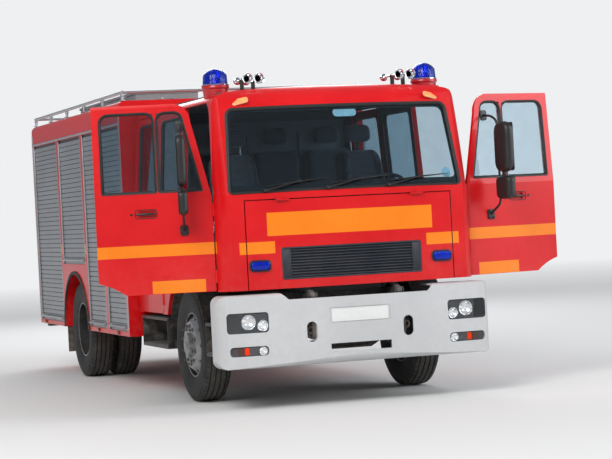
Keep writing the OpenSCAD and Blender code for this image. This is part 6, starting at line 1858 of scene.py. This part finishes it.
def wheel_grip():
    """The rim's cover: a ring whose tube swells by 1.2 mm towards the fingers twenty-four times round."""
    turn = np.linspace(0, 2 * np.pi, 192, endpoint=False)[:, None]
    round_it = np.linspace(0, 2 * np.pi, 18, endpoint=False)[None, :]
    reach = grip_r + 0.0007 * np.cos(24 * turn) * (0.5 - 0.5 * np.cos(round_it))
    spread = wheel_reach + reach * np.cos(round_it)
    points = points_at(spread * np.cos(turn), spread * np.sin(turn), reach * np.sin(round_it))
    return lattice(points, True, True)


def lining():
    """Headlining, back panel, sun visors and roof console."""
    half, front, rear = 0.99, front_axle_y - 0.9, cab_rear_face - 0.055
    across, along = np.meshgrid(np.linspace(-half, half, 61), np.linspace(front, rear - 0.01, 61))
    quilt = 0.003 * np.abs(np.cos(np.pi * across / 0.33)) ** 0.3 * np.abs(np.cos(np.pi * along / 0.42)) ** 0.3
    roof_in = 2.67 - 0.055 * (across / 1.1) ** 2 * 0.9
    head = plate(points_at(across, along, roof_in - 0.012 - quilt), points_at(across, along, roof_in - 0.004))
    across, upward = np.meshgrid(np.linspace(-1.0, 1.0, 61), np.linspace(1.56, 2.54, 31))
    quilt = 0.003 * np.abs(np.cos(np.pi * across / 0.4)) ** 0.3 * np.abs(np.cos(np.pi * upward / 0.33)) ** 0.3
    wall = plate(points_at(across, rear - quilt, upward), points_at(across, rear + 0.004, upward))
    visors = together(*[slab((0.5, 0.15, 0.016), (x, front_axle_y - 0.92, 2.565), (0, 0.35, 1), corner=0.03)
        for x in (-0.55, 0.55)])
    console = slab((0.62, 0.26, 0.07), (0, front_axle_y - 0.72, 2.615), corner=0.04, edge=0.02)
    return together(head, wall, visors, console)


def mats():
    """Ribbed mats in both footwells and a wide one before the bench: ribs 12 mm apart, 2.5 mm high."""
    made = []
    for x0, x1, y0, y1 in ((0.45, 1.07, -1.06, 0.5), (-1.07, -0.45, -1.06, 0.5), (-1.07, 1.07, 0.52, 1.17)):
        across, along = np.meshgrid(np.linspace(x0, x1, 2 + int((x1 - x0) / 0.004)),
            np.linspace(front_axle_y + y0, front_axle_y + y1, 3))
        rise = cabin_floor + 0.0045 + 0.0025 * (np.cos(2 * np.pi * across / 0.012) > 0)
        made.append(plate(points_at(across, along, rise), points_at(across, along, cabin_floor + 0.0005)))
    return together(*made)


dash_black = finish("dash_black", (0.021, 0.021, 0.023, 1), 0.62, dust=0.15, grain=900, depth=0.5)
dial_black = finish("dial_black", (0.008, 0.008, 0.01, 1), 0.2, dust=0.05, grain=300, depth=0.05, coat=0.5)
mat_black = finish("mat_black", (0.02, 0.02, 0.021, 1), 0.8, dust=1.0, grain=500, depth=0.4)
lining_pale = finish("lining_pale", (0.16, 0.165, 0.17, 1), 0.85, dust=0.05, grain=900, depth=0.5)
lay_on(dash_black, "dashboard", "steering_wheel")
lay_on(finish("floor_steel", (0.06, 0.062, 0.066, 1), 0.55, dust=0.7, grain=300, depth=0.3), "cab_floor")
piece("binnacle", together(hood(), fascia()), dash_black, "cab", "cab_plastic")
piece("dial_board", dial_faces(), dial_black, "cab", "cab_plastic")
piece("dials", dials(), seat_chrome, "cab", "cab_plastic")
piece("cab_lining", lining(), lining_pale, "cab", "cab_plastic", smooth=40)
piece("floor_mats", mats(), mat_black, "cab", "cab_plastic", smooth=30)
boss = turned(((0, 0.012), (0.03, 0.011), (0.05, 0.007), (0.06, 0.0), (0.062, -0.012), (0, -0.012)), 40)
piece("wheel_grip", placed(together(wheel_grip(), boss), wheel_spot, wheel_axis), dash_black,
    "steering_wheel", "cab_plastic", smooth=60)

# Wheel discs and their fittings
# Pressed steel discs in silver lacquer, dulled by brake dust round the hub and by road dirt at the rim;
# threaded stud ends stand out of the nuts, and a valve passes through a hand hole.
nut_circle = 0.1675
front_centre_x = 0.98
rear_centre_x = 0.93


def dirty_silver(name, axle_y):
    """Silver whose dirt grows towards the hub and the rim: mixed by the distance r from the wheel's axis."""
    material = finish(name, (0.42, 0.43, 0.44, 1), 0.36, dust=0.5, grain=260, depth=0.12, metallic=0.55,
        coat=0.2)
    tree = material.node_tree
    shader = tree.nodes["Principled BSDF"]
    spot = axes(tree)
    over, along = spot.z - wheel_z, spot.y - axle_y
    reach = over.math("MULTIPLY_ADD", over, along * along).math("SQRT")
    rings = reach.ramp(0.1, 0.2, 0.75, 0.0) + reach.ramp(0.21, 0.285, 0.0, 0.6)
    dirt = rings * noise(tree, 24.0, 5.0).ramp(0.35, 0.65, 0.35, 1.0)
    base = shader.inputs["Base Color"].links[0].from_socket
    feed(shader, {"Base Color": mix(tree, dirt, base, (0.045, 0.036, 0.028, 1)),
        "Metallic": dirt.math("MULTIPLY_ADD", -0.5, 0.55)})
    return material


def fittings(centre_x, axle_y, nut_face):
    """Ten studs and the valve with its cap, about one wheel's axis."""
    stud = turned(((0, 0.014), (0.0085, 0.014), (0.0105, 0.012), (0.0105, -0.004), (0, -0.004)), 14)
    collar = turned(((0.0, -0.0195), (0.021, -0.0195), (0.021, -0.0165), (0.0155, -0.0145), (0, -0.0145)), 20)
    nuts = [aim((centre_x + nut_face, axle_y + y, wheel_z + z), (1, 0, 0), (0, 1, 0))
        for z, y in circle(nut_circle, 10)]

    def stem(*spots):
        a = np.pi / 10
        return [(centre_x + x, axle_y + r * math.sin(a), wheel_z + r * math.cos(a)) for x, r in spots]

    valve = tube(stem((0.05, 0.272), (0.085, 0.262), (0.11, 0.25)), 0.0045, 10, (0, 1, 0))
    cap = tube(stem((0.106, 0.252), (0.124, 0.245)), 0.0065, 10, (0, 1, 0))
    return together(repeated(together(stud, collar), nuts), valve, cap)


stud_steel = finish("stud_steel", (0.16, 0.155, 0.15, 1), 0.45, dust=0.4, grain=300, depth=0.3, metallic=0.8)
for side, sign in (("left", 1), ("right", -1)):
    for name, body, made in ((f"front_studs_{side}", f"wheel_front_{side}",
        fittings(front_centre_x, front_axle_y, 0.144)),
            (f"rear_studs_{side}", f"wheels_rear_{side}", fittings(rear_centre_x, rear_axle_y, 0.036))):
        piece(name, (made[0] * (sign, 1, 1), made[1]), stud_steel, body, "wheel_silver")
lay_on(dirty_silver("silver_front", front_axle_y), "front_rim_left", "front_rim_right")
lay_on(dirty_silver("silver_rear", rear_axle_y), "rear_rims_left", "rear_rims_right")

# Equipment body: shutters, trims, deck and rear end
# Red coachwork with brushed alloy shutters, each lifted by a round bar in two brackets and run in channels;
# plated decks and steps; lamps and rails at the rear.
body_side_x = 1.25
shutter_x = 1.236
body_y = (front_axle_y + 1.69, front_axle_y + 6.12)
shutter_top = 2.56
openings = ((-0.65, 0.16, 0.565), (0.23, 1.04, 0.565), (1.11, 2.27, 1.21), (2.34, 3.665, 0.565))
rear_opening = (0.65, 1.045, 2.48)
deck_z = 2.72
side_lamp_y = (-0.25, 0.63, 2.6, 3.4)
tread_pitch = 0.03


def slat_groove_shade_mask(spot, facing):
    """Painted shade: dark lines laid on the grooves between a side shutter's slats, which lie 4 mm behind
    their faces, and on the same grooves of the rear shutter.
    """
    side = (abs(spot.x) < shutter_x - 0.004) * (abs(spot.x) > shutter_x - 0.03)
    behind = spot.y.within(body_y[1] - 0.05, body_y[1] - 0.0182) * (abs(spot.x) < 1.0)
    return side.math("MAXIMUM", behind)


def brushed(name, color, roughness, *bands):
    """Alloy with fine scratches along its length: noise stretched forty times along Y and X."""
    material = finish(name, color, roughness, dust=0.3, grain=250, depth=0.05, metallic=0.85, bands=bands)
    tree = material.node_tree
    place = wire(tree, "ShaderNodeTexCoord").outputs["Object"]
    drawn = wire(tree, "ShaderNodeMapping", {"Vector": place, "Scale": (6.0, 6.0, 260.0)}).outputs[0]
    scratch = noise(tree, 3.0, 3.0, place=drawn)
    feed(tree.nodes["Principled BSDF"], {"Normal": bump(tree, scratch, 0.3, 0.0006)})
    return material


def plated(name, color, metallic):
    """Treadplate: raised lozenges in cells of 30 mm, every other one crosswise, height 1 - (p/0.44)^2 -
    (q/0.13)^2."""
    material = finish(name, color, 0.42, dust=0.5, grain=200, depth=0.1, metallic=metallic)
    tree = material.node_tree
    spot = axes(tree)
    ways = [spot.y.math("MULTIPLY_ADD", sign, spot.x) * (0.7071 / tread_pitch) for sign in (1, -1)]
    first, second = [way.math("FRACT") - 0.5 for way in ways]
    odd = abs(ways[0].math("FLOOR") + ways[1].math("FLOOR")).math("MODULO", 2.0)
    along = odd * first + (1.0 - odd) * second
    over = odd * second + (1.0 - odd) * first
    squares = (along * along).math("MULTIPLY_ADD", 1 / 0.44 ** 2, over * over * (1 / 0.13 ** 2))
    lozenge = (1.0 - squares).ramp(0.0, 0.5)
    feed(tree.nodes["Principled BSDF"], {"Normal": bump(tree, lozenge, 0.9, 0.0018)})
    return material


def side_shutter_trim():
    """Lift bars on brackets, channels beside each curtain, a drip rail over it, and corner strips of
    alloy."""
    made = []
    for y0, y1, low in openings:
        bar_z = low + 0.046
        made.append(tube(((1.263, y0 + 0.05, bar_z), (1.263, y1 - 0.05, bar_z)), 0.0115, 14))
        made += [slab((0.05, 0.034, 0.03), (1.249, y, bar_z), (1, 0, 0), (0, 1, 0), 0.01, 0.006)
            for y in (y0 + 0.09, y1 - 0.09)]
        made += [slab((0.026, shutter_top - low, 0.014), (1.2425, y, (low + shutter_top) / 2), (1, 0, 0),
            (0, 1, 0)) for y in (y0 + 0.013, y1 - 0.013)]
        made.append(slab((y1 - y0 + 0.04, 0.022, 0.012), (1.256, (y0 + y1) / 2, shutter_top + 0.018),
            (1, 0, 0), (0, 1, 0), 0.005, 0.004))
    made += [slab((0.04, 2.1, 0.005), (1.2515, y, 1.64), (1, 0, 0), (0, 1, 0), 0.004, 0.002)
        for y in (body_y[0] + 0.022, body_y[1] - 0.022)]
    return together(*made)


def rear_shutter_trim():
    """The same bar and channels for the rear curtain, and a grab rail on either side of it."""
    half, low, high = rear_opening
    y = body_y[1]
    bar = tube(((-half + 0.05, y + 0.013, low + 0.05), (half - 0.05, y + 0.013, low + 0.05)), 0.0115, 14)
    pads = together(*[slab((0.05, 0.034, 0.03), (x, y, low + 0.05), (0, 1, 0), corner=0.01, edge=0.006)
        for x in (-half + 0.09, half - 0.09)])
    guides = together(*[slab((0.026, high - low, 0.014), (x, y - 0.0075, (low + high) / 2), (0, 1, 0))
        for x in (-half + 0.013, half - 0.013)])
    rail = rounded(((0.73, y, 1.25), (0.73, y + 0.06, 1.25), (0.73, y + 0.06, 1.95), (0.73, y, 1.95)), 0.05,
        6)
    return together(bar, pads, guides, both_sides(together(tube(rail, 0.012, 12, (1, 0, 0)),
        *[slab((0.07, 0.05, 0.008), (0.73, y + 0.003, z), (0, 1, 0), corner=0.02) for z in (1.25, 1.95)])))


alloy_strip = brushed("alloy_strip", (0.5, 0.51, 0.53, 1), 0.36)
# The shutters' alloy, with painted shade as dark lines along the grooves between the slats.
shutter_alloy = brushed("shutter_alloy", (0.42, 0.43, 0.45, 1), 0.4, (slat_groove_shade_mask, (0.07, 0.07, 0.075, 1)))
lay_on(shutter_alloy, "roller_shutters")
lay_on(brushed("ladder_alloy", (0.52, 0.53, 0.54, 1), 0.36), "roof_gallery", "roof_ladder", "rear_ladder")
tread_alloy = plated("tread_alloy", (0.4, 0.41, 0.42, 1), 0.9)
lay_on(tread_alloy, "roof_box")
lay_on(plated("tread_black", (0.045, 0.045, 0.047, 1), 0.2), "rear_step")
piece("shutter_trim", both_sides(side_shutter_trim()), alloy_strip, "chassis", "alloy")
piece("rear_shutter_trim", rear_shutter_trim(), alloy_strip, "chassis", "alloy", smooth=40)

deck_spans = np.linspace(body_y[0] + 0.1, body_y[1] - 0.1, 6)
deck_plates = together(*[slab((2.28, y1 - y0 - 0.006, 0.004), (0, (y0 + y1) / 2, deck_z + 0.002),
    corner=0.012, edge=0.0015) for y0, y1 in zip(deck_spans[:-1], deck_spans[1:])])
deck_screws = shifted(turned(((0, 0.0035), (0.006, 0.003), (0.0085, 0.0005), (0.0085, 0)), 10),
    *[(x, y, deck_z + 0.004) for y in np.r_[deck_spans[:-1] + 0.03, deck_spans[1:] - 0.03]
    for x in np.linspace(-1.1, 1.1, 7)])
piece("deck_plates", together(deck_plates, deck_screws), tread_alloy, "chassis", "alloy")
step_plates = [slab((x1 - 0.865, y1 - y0 - 0.02, 0.005), ((0.865 + x1) / 2 + (0.03 if high else 0),
    (y0 + y1) / 2, (0.728 if high else 0.468) + 0.0025), corner=0.02)
    for y0, y1 in ((front_axle_y - 1.105, front_axle_y - 0.665), (front_axle_y + 0.65, front_axle_y + 1.6))
    for high, x1 in ((False, 1.135), (True, 1.075))]
piece("step_plates", both_sides(together(*step_plates)), tread_alloy, "chassis", "step_steel")


def box_fittings():
    """Over-centre latches along the box's inner side, hinges along the outer, and a handle at each end."""
    latch = together(rounded_block((0.05, 0.09, 0.012), 0.008, 0.004),
        slab((0.03, 0.05, 0.014), (0, 0.012, 0.01), edge=0.004))
    spots = body_y[0] + 0.7 + np.array((0.4, 1.3, 2.2))
    latches = repeated(latch, [aim((-0.247, y, 2.87), (1, 0, 0), (0, 1, 0)) for y in spots])
    hinges = together(*[tube(((-0.903, y - 0.05, 2.9), (-0.903, y + 0.05, 2.9)), 0.008, 10) for y in spots])
    grips = together(*[tube(rounded(((-0.65, y, 2.85), (-0.65, y + d, 2.85), (-0.5, y + d, 2.85),
        (-0.5, y, 2.85)), 0.03), 0.008, 10) for y, d in ((body_y[0] + 0.7, -0.045),
        (body_y[1] - 1.13, 0.045))])
    return together(latches, hinges, grips)


piece("box_fittings", box_fittings(), alloy_strip, "chassis", "alloy")
post_feet = shifted(turned(((0, -0.074), (0.034, -0.074), (0.034, -0.079), (0.014, -0.083), (0.014, -0.04),
    (0.019, -0.036), (0.019, -0.01), (0, -0.01)), 20),
    *[(1.195, y, deck_z + 0.16) for y in np.linspace(body_y[0] + 0.04, body_y[1] - 0.04, 6)])
piece("gallery_feet", both_sides(post_feet), alloy_strip, "chassis", "alloy")

lens_red = clear_finish("lens_red", (0.85, 0.01, 0.012, 1), 0.12, 1.35, rib_pitch=0.007,
    shadow=(1, 0.05, 0.05, 1))
lens_pale = clear_finish("lens_pale", (0.95, 0.95, 0.95, 1), 0.15, 1.35, rib_pitch=0.007)
lamp_red = finish("lamp_red", (0.5, 0.008, 0.01, 1), 0.25, dust=0.05, grain=300, depth=0.1)
tail_spots = [0.835 + 0.145 * place for place in range(3)]
rear_face = body_y[1]
upper_lamp_z = 2.66


def tail_block(x, behind, size, corner, edge=0.008, z=0.665):
    """A round-cornered block on the rear face, its middle behind it."""
    return slab(size, (x, rear_face + behind, z), (0, 1, 0), corner=corner, edge=edge)


def tail_lens(x):
    """One chamber's lens, domed a little."""
    return tail_block(x, 0.058, (0.136, 0.116, 0.018), 0.014)


tail_box = together(tail_block(0.98, 0.025, (0.446, 0.128, 0.048), 0.022),
    tail_block(1.195, 0.014, (0.07, 0.08, 0.026), 0.012, 0.005, upper_lamp_z))
tail_backs = together(*[tail_block(x, 0.05, (0.126, 0.106, 0.006), 0.01, 0.002) for x in tail_spots],
    tail_block(1.195, 0.028, (0.05, 0.06, 0.004), 0.008, 0.001, upper_lamp_z))
upper_lens = tail_block(1.195, 0.033, (0.058, 0.068, 0.012), 0.01, 0.005, upper_lamp_z)
piece("tail_boxes", both_sides(tail_box), base_black, "chassis", "red_lens", ["tail_lamps"])
piece("tail_backs", both_sides(tail_backs), lamp_red, "chassis", "red_lens")
piece("tail_lenses_red", both_sides(together(tail_lens(tail_spots[1]), upper_lens)), lens_red, "chassis",
    "red_lens")
piece("tail_lenses_orange", both_sides(tail_lens(tail_spots[2])), indicator_orange, "chassis", "red_lens")
piece("tail_lenses_pale", both_sides(tail_lens(tail_spots[0])), lens_pale, "chassis", "red_lens")
side_spots = [(body_side_x + 0.007, y, 0.543) for y in side_lamp_y[:2] + side_lamp_y[3:]]
side_lamps = together(*[slab((0.11, 0.034, 0.014), spot, (1, 0, 0), (0, 1, 0), 0.015, 0.006)
    for spot in side_spots])
piece("side_lamps", both_sides(side_lamps), indicator_orange, "chassis", "lamp_lens")
rear_plate = slab((0.2, 0.16, 0.003), (0.6, rear_face + 0.003, 0.81), (0, 1, 0), corner=0.012, edge=0.001)
piece("rear_plate", rear_plate, plate_white, "chassis", "bumper_grey")

cab_rail = rounded(((1.148, cab_rear_face - 0.045, 1.16), (1.2, cab_rear_face - 0.045, 1.16),
    (1.2, cab_rear_face - 0.045, 1.72), (1.148, cab_rear_face - 0.045, 1.72)), 0.04, 6)
rail_pads = together(*[slab((0.05, 0.07, 0.008), (1.152, cab_rear_face - 0.045, z), (1, 0, 0), (0, 1, 0),
    0.018) for z in (1.16, 1.72)])
piece("cab_rails", both_sides(together(tube(cab_rail, 0.012, 12, (0, 1, 0)), rail_pads)), handle_black, "cab",
    "cab_plastic", smooth=40)
lay_on(finish("guard_rubber", (0.017, 0.017, 0.018, 1), 0.62, dust=0.75, grain=420, depth=0.35),
    "front_mudguards", "rear_splash_guards")
lay_on(finish("tank_moulding", (0.4, 0.42, 0.44, 1), 0.5), "water_tank")
tank_pads = [slab((0.05, 0.024, 0.014), (0.481, front_axle_y + along, 0.7325), (1, 0, 0), (0, 1, 0), 0.004,
    0.002)
    for along in (0.9, 1.45)]
piece("tank_pads", together(*tank_pads), hose_rubber, "chassis", "chassis_black")
